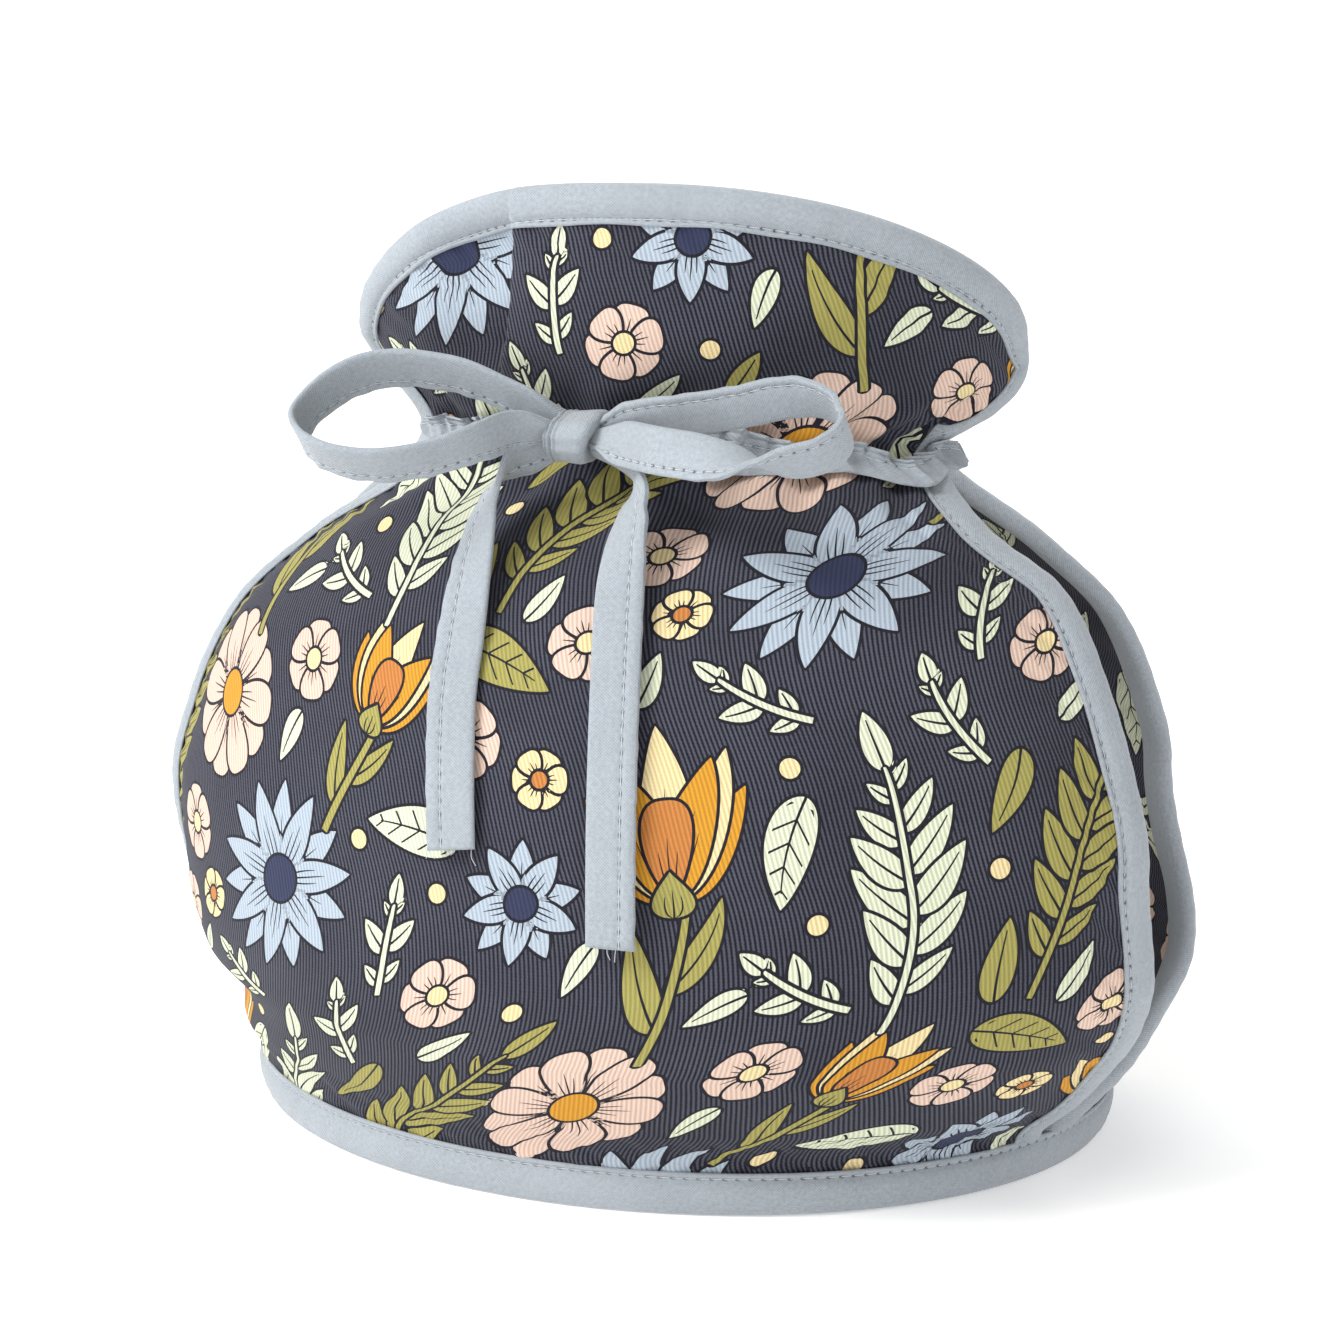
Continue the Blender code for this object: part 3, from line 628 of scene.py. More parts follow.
@dataclass
class Leaf:
    """The worn shape of one leaf's outer face, by angle and height."""

    turn: int  # 1 in front, -1 at the back
    rim_rise: float  # of the collar's middle above its ends
    lean: float  # of the collar, outwards
    sag: float  # of the belly, to one side
    folds: tuple
    reach: tuple = ((0.0, 1.0), (0.0, 0.0))  # further round on the left: heights, then degrees
    pleat: tuple = None  # heights, then angles
    corner: float = 0.0  # how far the collar's lower corner stands out

    def ends(self, height):
        """The left and the right angle where the leaf ends at heights."""
        _, _, _, left, right = section(height)
        return left - np.interp(height, *self.reach), right

    def bare(self, angle, height):
        """Places on the leaf without its folds."""
        half_width, half_depth, shift, _, _ = section(height)
        rise = (height - NECK) / (RIM_BASE + self.rim_rise - NECK)
        half_depth = half_depth + self.lean * ease(rise)
        sag = self.sag * hump((height - SAG_HEIGHT) / SAG_HEIGHT) / 2.0
        half_width, shift = half_width + sag, shift - sag
        a = np.radians(angle)
        x = shift + half_width * np.sin(a)
        x = x + self.corner * hump((height - CORNER) / 0.014) * ease((angle - 30.0) / 50.0)
        y = -half_depth * np.cos(a)
        return np.stack([self.turn * x, self.turn * y, height + 0.0 * x], axis=-1)

    def directions(self, angle, height):
        """The ways across and up the leaf, and out of it."""
        across = self.bare(angle + 0.5, height) - self.bare(angle - 0.5, height)
        up = (self.bare(angle, height + 0.0005) - self.bare(angle, height - 0.0005)) / 0.001
        return across, up, unit(np.cross(across, up))

    def fold_depth(self, angle, height):
        """How deep the folds, waves, gathers and the pleat sink the cloth."""
        left, right = self.ends(height)
        here = 2.0 * (angle - left) / (right - left) - 1.0
        depth = 0.0
        for across, middle, half_across, half_height, deep in self.folds:
            fold = hump((here - across) / half_across) * hump((height - middle) / half_height)
            depth = depth + deep * fold
        waves = np.sin(here * 5.3 + height * 61.0 + self.turn) * np.sin(height * 47.0 - here * 3.1)
        drawn = hump((height - NECK) / 0.020) * (1.0 - here**8)
        drawn = drawn * np.sin(here * 34.0 + 2.0 * np.sin(here * 7.0 + self.turn))
        depth = FOLDED * (depth + WAVED * waves) + DRAWN * drawn
        if self.pleat is not None:
            behind = np.interp(height, *self.pleat) - angle
            step = ease((behind + 0.6) / 1.3) * np.exp(-np.clip(behind, 0.0, None) / 12.0)
            proud = PLEATED + (PLEATED_AT_RIM - PLEATED) * ease((height - 0.208) / 0.014)
            depth = depth + proud * step * ease((height - 0.176) / 0.012)
        return depth

    def cloth(self, angle, height, out=0.0):
        """Places on the folded leaf, or so far out of it."""
        normal = self.directions(angle, height)[2]
        out = np.asarray(out - self.fold_depth(angle, height))
        return self.bare(angle, height) + out[..., None] * normal

    def rim(self, angle):
        """The height of the collar's rim."""
        left, right = self.ends(RIM_BASE)
        on_left = angle < RIM_MIDDLE
        half = np.where(on_left, RIM_MIDDLE - left, right - RIM_MIDDLE)
        share = np.abs(angle - RIM_MIDDLE) / half
        power = np.where(on_left, 2.7, 2.0)
        return RIM_BASE + self.rim_rise * (1.0 - np.minimum(share, 1.0) ** power) ** 0.9

    def places(self):
        """Angles and heights of a grid on the leaf, from the hem up, and from left to right."""
        shares = np.linspace(0.0, 1.0, COLUMNS + 1)
        fine = np.linspace(ABOVE_HEM, NECK, 400)
        run = distances(self.bare(0.0 * fine, fine))
        body = np.interp(np.linspace(0.0, run[-1], BODY_ROWS), run, fine)
        low = np.concatenate([[HEM_INSIDE], body])
        height = np.repeat(low[:, None], len(shares), axis=1)
        up = np.arange(1, COLLAR_ROWS + 1) / COLLAR_ROWS
        rim_left, rim_right = self.ends(RIM_BASE)
        top = self.rim(rim_left + (rim_right - rim_left) * shares)
        low = np.concatenate([low, NECK + (RIM_BASE - NECK) * up])
        height = np.concatenate([height, NECK + (top - NECK)[None] * up[:, None]])
        left, right = self.ends(low)
        angle = left[:, None] + (right - left)[:, None] * shares[None]
        return angle, height


PLEAT = ((0.182, 0.189, 0.1985, 0.2075, 0.218, 0.230), (-19.8, -16.0, -14.4, -14.1, -13.4, -12.6))
REACH = ((0.020, 0.036, 0.140, 0.154, 0.165, 0.178, 0.232), (0.0, 7.0, 7.5, 5.5, 5.0, 11.0, 12.5))
front = Leaf(1, 0.0402, 0.0, 0.0, FRONT_FOLDS, REACH, PLEAT, 0.0045)
back = Leaf(-1, 0.0290, 0.010, 0.0045, BACK_FOLDS)


def distance_to(points, line):
    """Each point's distance to the nearest point of a line."""
    nearest = np.full(points.shape[:-1], np.inf)
    for place in line:
        nearest = np.minimum(nearest, np.linalg.norm(points - place, axis=-1))
    return nearest


# The print: leaves, flowers and berries with dark outlines, all from one kind of shape, which is
# a stem line with a width along it. Each shape lies in a layer, and the layers go on in turn.
TILE = (128.0, 166.0)  # millimetres across and up; every other column is dropped by half of it
OUTLINE = 0.75  # width of the dark line round every shape, millimetres
PRINT_LAYERS = 6
INKS = {  # linear colours of the printing inks
    "olive": (0.375, 0.340, 0.100),
    "mint": (0.710, 0.745, 0.560),
    "sky": (0.430, 0.500, 0.580),
    "navy": (0.035, 0.042, 0.090),
    "blush": (0.760, 0.560, 0.460),
    "cream": (0.840, 0.680, 0.370),
    "mustard": (0.660, 0.310, 0.030),
    "rust": (0.560, 0.215, 0.055),
}
# powers of a shape's outline at its foot and at its tip
POINTED, PETAL, STALK, ROUND = (0.55, 0.90), (0.80, 0.35), (0.02, 0.15), (0.50, 0.50)
PLAIN, RIB, VEINS, RAYS = 0.0, 1.0, 2.0, 3.0  # the dark lines drawn inside a shape


# A leaf, petal, berry or stalk: its layer, its foot, the way it points, its size, ink and curve
Shape = namedtuple(
    "Shape", "layer x y angle length half ink cut bend lines", defaults=(POINTED, 0.0, RIB)
)


def on_stalk(stalk, share):
    """The place and the direction of a stalk at a share of its length."""
    a = math.radians(stalk.angle)
    aside = stalk.length * stalk.bend * share**2
    return (
        stalk.x + stalk.length * share * math.sin(a) + aside * math.cos(a),
        stalk.y + stalk.length * share * math.cos(a) - aside * math.sin(a),
        stalk.angle + math.degrees(math.atan(2 * stalk.bend * share)),
    )


def spray(pairs, length, leaf, half, ink, bend):
    """Pairs of leaves along a stalk."""
    stalk = Shape(2, 0, 0, 0, length, 0.7, ink, STALK, bend, PLAIN)
    made = [stalk]
    for k in range(pairs):
        share = 0.16 + 0.74 * k / (pairs - 1)
        size = 1.0 - 0.45 * abs(2.0 * k / (pairs - 1) - 0.8) ** 1.6
        for side in (-1, 1):
            x, y, angle = on_stalk(stalk, share + 0.02 * side)
            layer = (k + (side + 1) // 2) % 2
            turned = angle + side * 52
            leaflet = Shape(layer, x, y, turned, leaf * size, half * size, ink)
            made.append(leaflet._replace(bend=-0.16 * side))
    x, y, angle = on_stalk(stalk, 0.99)
    made.append(Shape(pairs % 2, x, y, angle, leaf * 0.75, half * 0.8, ink))
    return made


def daisy(petals, radius, half, ink, disc, middle, cut=PETAL):
    """A flower seen from above, with an even number of petals."""
    made = [Shape(2, 0, -disc, 0, 2 * disc, disc, middle, ROUND, 0, PLAIN)]
    foot = 0.5 * disc
    for k in range(petals):
        angle = 360.0 * k / petals
        x, y = foot * math.sin(math.radians(angle)), foot * math.cos(math.radians(angle))
        made.append(Shape(k % 2, x, y, angle, radius - foot, half, ink, cut, 0, RAYS))
    return made


def bloom(size, outer, inner, heart):
    """A cup of petals seen from its side, on a stalk with two long leaves."""
    made = [
        Shape(2, 0, -0.95 * size, 0, size, 0.9, "olive", STALK, 0.08, PLAIN),
        Shape(0, 0, -0.72 * size, -38, 0.60 * size, 0.09 * size, "olive", POINTED, 0.30),
        Shape(1, 0, -0.50 * size, 44, 0.52 * size, 0.08 * size, "olive", POINTED, -0.30),
        Shape(2, 0, 0.04 * size, 0, 0.84 * size, 0.14 * size, inner, POINTED, 0, RAYS),
        Shape(4, 0, 0, 0, 0.50 * size, 0.13 * size, heart, PETAL, 0, RAYS),
        Shape(5, 0, -0.10 * size, 0, 0.24 * size, 0.11 * size, "olive", (0.5, 1.2), 0, RAYS),
    ]
    for side in (-1, 1):
        for layer, turn, length, half, ink, bend in (
            (0, 50, 0.66, 0.12, outer, -0.22),
            (1, 34, 0.80, 0.12, inner, -0.16),
            (3, 17, 0.74, 0.13, outer, 0.06),
        ):
            petal = Shape(layer, 0, 0, turn * side, length * size, half * size, ink)
            made.append(petal._replace(bend=bend * side, lines=RAYS))
    return made


def berries(count, length, ink, berry):
    """Berries on twigs along a stalk."""
    stalk = Shape(1, 0, 0, 0, length, 0.5, ink, STALK, 0.22, PLAIN)
    made = [stalk]
    for k in range(count):
        side = 1 if k % 2 else -1
        x, y, angle = on_stalk(stalk, 0.25 + 0.6 * k / max(count - 1, 1))
        twig = Shape(0, x, y, angle + 55 * side, 6.5, 0.4, ink, STALK, -0.2 * side, PLAIN)
        x, y, angle = on_stalk(twig, 0.9)
        made += [twig, Shape(1, x, y, angle, 4.6, 2.3, berry, ROUND, 0, PLAIN)]
    x, y, angle = on_stalk(stalk, 0.97)
    return [*made, Shape(2, x, y, angle, 5.0, 2.5, berry, ROUND, 0, PLAIN)]


def put(motif, x, y, turn=0.0):
    """The motif turned and put on the cloth."""
    a = math.radians(turn)
    placed = []
    for item in motif:
        across = item.x * math.cos(a) + item.y * math.sin(a)
        up = item.y * math.cos(a) - item.x * math.sin(a)
        placed.append(item._replace(x=x + across, y=y + up, angle=turn + item.angle))
    return placed


def wide_number(item):
    """What s**foot * (1 - s)**tip is multiplied by, for half the width of a shape."""
    foot, tip = item.cut
    return item.half / (foot**foot * tip**tip / (foot + tip) ** (foot + tip))


def width_at(item, s):
    """Half the width of a shape at a share of its length."""
    foot, tip = item.cut
    s = np.clip(s, 0.0, 1.0)
    return wide_number(item) * s**foot * (1 - s) ** tip


def outline_points(item, count=18):
    """Points round a shape's outline."""
    s = 0.5 - 0.5 * np.cos(np.linspace(0.0, math.pi, count))
    a = math.radians(item.angle)
    sides = []
    for sign in (1, -1):
        t = item.length * item.bend * s**2 + sign * width_at(item, s)
        across = item.x + item.length * s * math.sin(a) + t * math.cos(a)
        up = item.y + item.length * s * math.cos(a) - t * math.sin(a)
        sides.append(np.stack([across, up], axis=1))
    return np.concatenate([sides[0], sides[1][::-1]])


def near_shape(item, points):
    """Share along, millimetres aside and millimetres from a shape's outline, negative inside it."""
    a = math.radians(item.angle)
    away = points - (item.x, item.y)
    s = (away[:, 0] * math.sin(a) + away[:, 1] * math.cos(a)) / item.length
    t = away[:, 0] * math.cos(a) - away[:, 1] * math.sin(a) - item.length * item.bend * s**2
    line = outline_points(item)
    nearest = np.full(len(points), 1e9)
    for start, end in zip(line, np.roll(line, -1, axis=0)):
        span = end - start
        share = np.clip((points - start) @ span / max(float(span @ span), 1e-12), 0.0, 1.0)[:, None]
        nearest = np.minimum(nearest, np.linalg.norm(points - start - share * span, axis=1))
    inside = (s > 0) & (s < 1) & (np.abs(t) < width_at(item, s))
    return s, t, np.where(inside, -nearest, nearest)


GRID = 1.5  # how finely the tile is searched for gaps, millimetres
APART = 3.4  # the least room between motifs, millimetres
NEIGHBOURS = ((0, 0), (0, 1), (0, -1), (1, 0.5), (1, -0.5), (-1, 0.5), (-1, -0.5))


def the_tile():
    """The motifs of one repeat: the large ones put one by one, small ones thrown into the gaps."""
    laid = [
        *put(spray(7, 68, 17.0, 3.3, "olive", 0.22), 10, 6, 6),
        *put(spray(6, 58, 18.0, 3.7, "mint", -0.22), 108, 82, 4),
        *put(daisy(14, 23.0, 3.7, "sky", 5.5, "navy", POINTED), 82, 20),
        *put(bloom(42, "mustard", "cream", "rust"), 56, 112, -8),
        *put(bloom(30, "mustard", "cream", "rust"), 108, 60, 24),
        *put(daisy(12, 19.0, 4.6, "blush", 5.0, "mustard"), 54, 58),
        *put(daisy(10, 14.0, 3.0, "sky", 3.6, "navy", POINTED), 22, 108),
    ]
    small = [
        (daisy(6, 9.0, 3.9, "blush", 2.4, "cream"), 5),
        (spray(3, 22, 10.0, 2.4, "mint", 0.2), 4),
        (berries(4, 20, "olive", "cream"), 3),
        ([Shape(0, 0, 0, 0, 27, 6.0, "olive", POINTED, 0.2, VEINS)], 3),
        ([Shape(0, 0, 0, 0, 24, 5.4, "mint", POINTED, -0.2, VEINS)], 3),
        (berries(3, 15, "olive", "mustard"), 3),
        (daisy(6, 6.4, 2.8, "cream", 1.8, "rust"), 5),
        ([Shape(0, 0, 0, 0, 18, 3.8, "olive", POINTED, 0.2)], 9),
        ([Shape(0, 0, 0, 0, 13, 2.8, "mint", POINTED, -0.2)], 12),
        ([Shape(0, 0, 0, 0, 4.4, 2.2, "cream", ROUND, 0, PLAIN)], 7),
    ]
    throw = random.Random(7)
    across, up = np.meshgrid(np.arange(0.0, TILE[0], GRID), np.arange(0.0, TILE[1], GRID))
    free = np.full(across.shape, 99.0)  # each place's distance to the nearest motif

    def fill(points):
        for x, y in points:
            for dx, dy in NEIGHBOURS:
                away = np.hypot(across - x - dx * TILE[0], up - y - dy * TILE[1])
                np.minimum(free, away, out=free)

    for item in laid:
        fill(outline_points(item, 9))
    for motif, most in small:
        for _ in range(700):
            x, y = throw.uniform(0, TILE[0]), throw.uniform(0, TILE[1])
            thrown = put(motif, x, y, throw.uniform(0, 360))
            rim = np.concatenate([outline_points(item, 7) for item in thrown])
            column = np.floor(rim[:, 0] / TILE[0])
            inner = rim - np.stack([column * TILE[0], -0.5 * TILE[1] * (column % 2)], axis=1)
            at = np.minimum((inner % TILE / GRID).astype(int), np.array(free.shape[::-1]) - 1)
            if free[at[:, 1], at[:, 0]].min() > APART:
                laid += thrown
                fill(rim)
                most -= 1
                if most == 0:
                    break
    return laid


PRINT = the_tile()


def print_on(mesh, cloth, start):
    """Stores, for each layer of the print, what the shader needs to draw it: at each vertex the
    nearest shape's share along, its millimetres aside and its distance, then its width's numbers
    and its ink. The ink's fourth number is 0 plain, 1 with a rib, 3 with rays, or a veined
    leaf's length.
    """
    points = cloth * 1000.0 + start
    low, high = points.min(axis=0) - 30.0, points.max(axis=0) + 30.0
    order = np.argsort(points[:, 0])
    sorted_x = points[order, 0]
    places = np.tile(np.array((-1.0, 0.0, 99.0)), (PRINT_LAYERS, len(points), 1))
    cuts = np.tile(np.array((0.5, 0.5, 0.0)), (PRINT_LAYERS, len(points), 1))
    inks = np.zeros((PRINT_LAYERS, len(points), 4))
    columns = range(math.floor(low[0] / TILE[0]) - 1, math.ceil(high[0] / TILE[0]) + 1)
    rows = range(math.floor(low[1] / TILE[1]) - 1, math.ceil(high[1] / TILE[1]) + 2)
    shifts = [
        np.array((c * TILE[0], r * TILE[1] - (c % 2) * TILE[1] / 2.0))
        for c in columns
        for r in rows
    ]
    for item in PRINT:
        rim = outline_points(item)
        for shift in shifts:
            first, last = rim.min(axis=0) + shift - 6.0, rim.max(axis=0) + shift + 6.0
            if np.any(first > high) or np.any(last < low):
                continue
            near_x = order[np.searchsorted(sorted_x, first[0]) : np.searchsorted(sorted_x, last[0])]
            near_x = near_x[(points[near_x, 1] > first[1]) & (points[near_x, 1] < last[1])]
            if len(near_x) == 0:
                continue
            s, t, near = near_shape(item, points[near_x] - shift)
            closer = near < places[item.layer, near_x, 2]
            at = near_x[closer]
            places[item.layer, at] = np.stack([s, t, near], axis=1)[closer]
            cuts[item.layer, at] = (*item.cut, wide_number(item))
            lines = item.length if item.lines == VEINS else item.lines
            inks[item.layer, at] = (*INKS[item.ink], lines)
    for layer in range(PRINT_LAYERS):
        for name, kind, entry, values in (
            ("place", "FLOAT_VECTOR", "vector", places),
            ("cut", "FLOAT_VECTOR", "vector", cuts),
            ("ink", "FLOAT_COLOR", "color", inks),
        ):
            stored = mesh.attributes.new(f"{name}_{layer}", kind, "POINT")
            stored.data.foreach_set(entry, values[layer].ravel())


def make_leaf(name, leaf, start):
    """The printed face as one grid and the lining as a coarser one, joined along their borders."""
    angle, height = leaf.places()
    normal = leaf.directions(angle, height)[2]
    face = leaf.cloth(angle, height)
    edge = np.concatenate([face[4:, 0], face[-1, 4:-1:4], face[4:, -1]])[::3]
    from_edge = distance_to(face, edge)
    full = ease(np.minimum(from_edge - STRIP, height - ABOVE_HEM) / SWELL)
    # the seams pull the wadding into small puckers beside the bindings and the hem band
    along = 1000.0 * (face[..., 0] + 1.3 * face[..., 2] + 0.7 * face[..., 1])
    beside = hump((np.minimum(from_edge, height) - STRIP - 0.002) / 0.012)
    pucker = PUCKERED * beside * (np.sin(along * 0.83) + 0.7 * np.sin(along * 0.49 + 1.0))
    outer = face - (PINCH * (1.0 - full) - pucker)[..., None] * normal
    thick = PRESSED + (WADDED - PRESSED) * full
    inner = outer - thick[..., None] * normal
    # the cloth's own widths and lengths, from the middle of the hem
    middle = COLUMNS // 2
    steps = np.linalg.norm(np.diff(outer[..., :2], axis=1), axis=-1)
    across = np.pad(np.cumsum(steps, axis=1), ((0, 0), (1, 0)))
    across -= across[:, middle : middle + 1]
    up = np.linspace(0.0, 0.24, 500)
    length = np.interp(height, up, distances(leaf.bare(0.0 * up, up)))
    # the leaf narrows to the hem, so its threads sink a little towards its sides there
    length -= NARROWING * (1.0 - ease((height - ABOVE_HEM) / 0.045)) * across**2
    cloth = np.stack([across, length], axis=-1)

    sheets = []
    for step, points in ((1, outer), (2, inner)):
        sheet, on_cloth = shaped_grid(name, points[::step, ::step], cloth[::step, ::step])
        sheet.data.uv_layers.active.name = "cloth"
        print_on(sheet.data, on_cloth, start)
        sheets.append(sheet)
    bpy.ops.object.select_all(action="DESELECT")
    for sheet in sheets:
        sheet.select_set(True)
    made = bpy.context.view_layer.objects.active = sheets[0]
    bpy.ops.object.join()
    bpy.ops.object.mode_set(mode="EDIT")
    bpy.ops.mesh.select_mode(type="EDGE")
    bpy.ops.mesh.select_all(action="DESELECT")
    bpy.ops.mesh.select_non_manifold(
        extend=False,
        use_wire=False,
        use_multi_face=False,
        use_non_contiguous=False,
        use_verts=False,
    )
    bpy.ops.mesh.bridge_edge_loops()
    bpy.ops.mesh.select_mode(type="VERT")
    finish_faces()
    return made


def drawing_group():
    """One layer of the print: the ink inside its shapes, with outlines and inner lines."""
    tree = bpy.data.node_groups.new("printed_shapes", "ShaderNodeTree")
    for name, kind in (
        ("Under", "Color"),
        ("Place", "Vector"),
        ("Cut", "Vector"),
        ("Ink", "Color"),
        ("Lines", "Float"),
    ):
        tree.interface.new_socket(name=name, in_out="INPUT", socket_type="NodeSocket" + kind)
    tree.interface.new_socket(name="Cloth", in_out="OUTPUT", socket_type="NodeSocketColor")
    given = tree.nodes.new("NodeGroupInput").outputs
    result = tree.nodes.new("NodeGroupOutput").inputs
    apart = []
    for name in ("Place", "Cut"):
        made = tree.nodes.new("ShaderNodeSeparateXYZ")
        tree.links.new(given[name], made.inputs[0])
        apart += [Value(tree, socket) for socket in made.outputs]
    along, t, near, foot, tip, wide = apart
    lines = Value(tree, given["Lines"])
    within = along.between(0.0001, 0.9999)
    left = 1.0 - within
    half = wide * (within**foot * left**tip)
    aside = t.through("ABSOLUTE")
    inside = (along > 0.0) * (along < 1.0) * (aside < half) * (near < 0.4)
    rayed = lines.through("COMPARE", RAYS, 0.5)
    rib = aside < left.through("SQRT") * 0.28 + 0.05
    rib = rib * (lines > 0.5) * (1.0 - rayed) * (along < 0.86)
    order = (along * lines - aside * 0.9) / VEINS_APART
    vein = (order - order.through("ROUND")).through("ABSOLUTE") < 0.06
    vein = vein * (lines > 4.0) * (aside / half < 0.8)
    vein = vein * ((along - 0.49).through("ABSOLUTE") < 0.41)
    spread = aside / half.through("MAXIMUM", 0.001)
    ray = (spread / RAYS_APART).through("ROUND")
    off = (spread - ray * RAYS_APART).through("ABSOLUTE") * half
    taper = (1.0 - within / ((ray < 0.5) * 0.14 + 0.48)).through("MAXIMUM", 0.0)
    drawn = (off < taper**0.4 * 0.24) * rayed * (ray < 1.5)
    dark = (rib + vein + drawn).through("MINIMUM", 1.0)
    inked = blend(dark, given["Ink"], DARK_INK)
    around = blend(near < OUTLINE, given["Under"], DARK_INK)
    tree.links.new(blend(inside, around, inked), result["Cloth"])
    return tree


VEINS_APART = 5.0  # along a veined leaf, millimetres
RAYS_APART = 0.42  # across a petal, as a share of half its width
DARK_INK = (0.016, 0.015, 0.022)
VALLEY, RIDGE = (0.006, 0.006, 0.011), (0.094, 0.098, 0.130)
RIB_PITCH = 0.00100
RIB_LEAN = 19.0  # degrees
FLOAT_LENGTH = 0.0008  # of a thread that lies over its neighbours


def twill():
    """Charcoal twill: slanting ribs of short floats, with the print's layers on them in turn."""
    made, tree, shader = material("printed_twill", (0.040, 0.041, 0.056), 0.85, 0.06)
    uv, across, up = on_the_cloth(tree, "cloth")
    fuzz = noise(tree, uv, 1400.0, 2.0)
    shade = noise(tree, uv, 35.0, 5.0)
    lean = math.radians(RIB_LEAN)
    cross = up * math.sin(lean) + across * math.cos(lean) + fuzz * 0.00022
    down = up * math.cos(lean) - across * math.sin(lean)
    rib = (cross * (2.0 * math.pi / RIB_PITCH)).through("COSINE") * 0.5 + 0.5
    floats = down / FLOAT_LENGTH + (cross / RIB_PITCH).through("FLOOR") * 0.37
    floats = (floats * (2.0 * math.pi)).through("SINE") * 0.5 + 0.5
    raised = rib**0.9 * (floats * 0.22 + 0.78)
    colour = blend(raised * (shade * 0.9 + 0.45), VALLEY, RIDGE)
    group = drawing_group()
    for layer in range(PRINT_LAYERS):
        drawn = tree.nodes.new("ShaderNodeGroup")
        drawn.node_tree = group
        tree.links.new(colour, drawn.inputs["Under"])
        for socket, stored in (("Place", "place"), ("Cut", "cut"), ("Ink", "ink")):
            read = tree.nodes.new("ShaderNodeAttribute")
            read.attribute_name = f"{stored}_{layer}"
            output = read.outputs["Color" if stored == "ink" else "Vector"]
            tree.links.new(output, drawn.inputs[socket])
        tree.links.new(read.outputs["Alpha"], drawn.inputs["Lines"])
        colour = drawn.outputs["Cloth"]
    # ink lies on the ribs and leaves the ground darker between them
    colour = blend((1.0 - raised) * 0.34, colour, VALLEY)
    tree.links.new(colour, shader.inputs["Base Color"])
    bump(shader, fuzz * 0.35 + raised, 0.5, 0.0002)
    return made


printed_twill = twill()
for leaf, side, start in ((front, "front", (20.0, 30.0)), (back, "back", (75.0, 110.0))):
    panel = make_leaf(side + "_leaf", leaf, start)
    panel.data.materials.append(printed_twill)
    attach(panel, "root")
    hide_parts(side + "_panel")

# ---------------------------------------------------------------------------- the bindings
# Bias strips of the plain cotton, folded over each leaf's edge from the hem band up one side,
# round the rim and down to the band again. They are plump with the wadding they squeeze, and
# stitched through near their inner edge.

# the section, from the inner edge of the outside round to the inside: millimetres in from the
# leaf's edge, and out of its face
BINDING = (
    (8.20, -0.72),
    (8.15, -0.36),
    (7.80, -0.10),
    (7.35, -0.12),
    (7.05, -0.34),
    (6.85, -0.44),
    (6.65, -0.30),
    (6.20, 0.12),
    (5.30, 0.52),
    (4.00, 0.76),
    (2.60, 0.72),
    (1.30, 0.42),
    (0.30, -0.02),
    (-0.40, -0.66),
    (-0.82, -1.40),
    (-0.92, -2.15),
    (-0.80, -2.90),
    (-0.35, -3.55),
    (0.50, -4.05),
    (2.20, -4.40),
    (4.60, -4.40),
    (6.30, -4.05),
    (7.60, -4.10),
    (7.85, -3.75),
    (7.70, -3.48),
    (4.00, -3.50),
    (0.40, -3.45),
    (-0.22, -2.80),
    (-0.22, -1.40),
    (0.40, -0.74),
    (4.00, -0.70),
    (7.70, -0.80),
)
BINDING_SEAM = 5  # the section's row that is stitched
TUCKED_FROM = 0.0030  # their ends start at this height, inside the hem band, pressed flat


def blurred(values, reach):
    """A running mean over reach rows each way, twice over."""
    for _ in range(2):
        first, last = np.repeat(values[:1], reach, axis=0), np.repeat(values[-1:], reach, axis=0)
        padded = np.concatenate([first, values, last])
        total = np.cumsum(np.concatenate([np.zeros_like(padded[:1]), padded]), axis=0)
        values = (total[2 * reach + 1 :] - total[: -2 * reach - 1]) / (2 * reach + 1)
    return values


def leaf_edge(leaf, step):
    """Even places up a leaf's left side, round its rim and down its right side.

    Returns angles and heights, with what a metre inwards along the face adds to each, and the
    inward way.
    """
    angle, height = leaf.places()
    angle = np.concatenate([angle[:, 0], angle[-1, 1:-1], angle[::-1, -1]])
    height = np.concatenate([height[:, 0], height[-1, 1:-1], height[::-1, -1]])
    run = distances(leaf.bare(angle, height))
    even = np.linspace(0.0, run[-1], round(run[-1] / step) + 1)
    angle, height = np.interp(even, run, angle), np.interp(even, run, height)
    keep = height > TUCKED_FROM
    angle, height, even = angle[keep], height[keep], even[keep] - even[keep][0]
    place = leaf.bare(angle, height)
    across, up, normal = leaf.directions(angle, height)
    tangent = unit(np.gradient(blurred(place, 3), axis=0))
    inward = unit(blurred(unit(np.cross(tangent, normal)), round(0.008 / step)))
    inward = unit(inward - np.sum(inward * normal, axis=1, keepdims=True) * normal)
    aa, au, uu = (np.sum(x * y, axis=1) for x, y in ((across, across), (across, up), (up, up)))
    ia, iu = np.sum(inward * across, axis=1), np.sum(inward * up, axis=1)
    scale = aa * uu - au * au
    return angle, height, (ia * uu - iu * au) / scale, (iu * aa - ia * au) / scale, inward, even


def sewn_strip(name, node, rings, along, seam, out, pitch=STITCH_PITCH, closed=False):
    """A strip of the cotton through rings of points, stitched along one row of its section."""
    made, around = swept(name, rings, along, closed)
    fit_cotton(made, node, plain_weave(name, pitch, float(around[seam])))
    stitching(name + "_stitches", rings[:, seam], out, pitch)
    return made


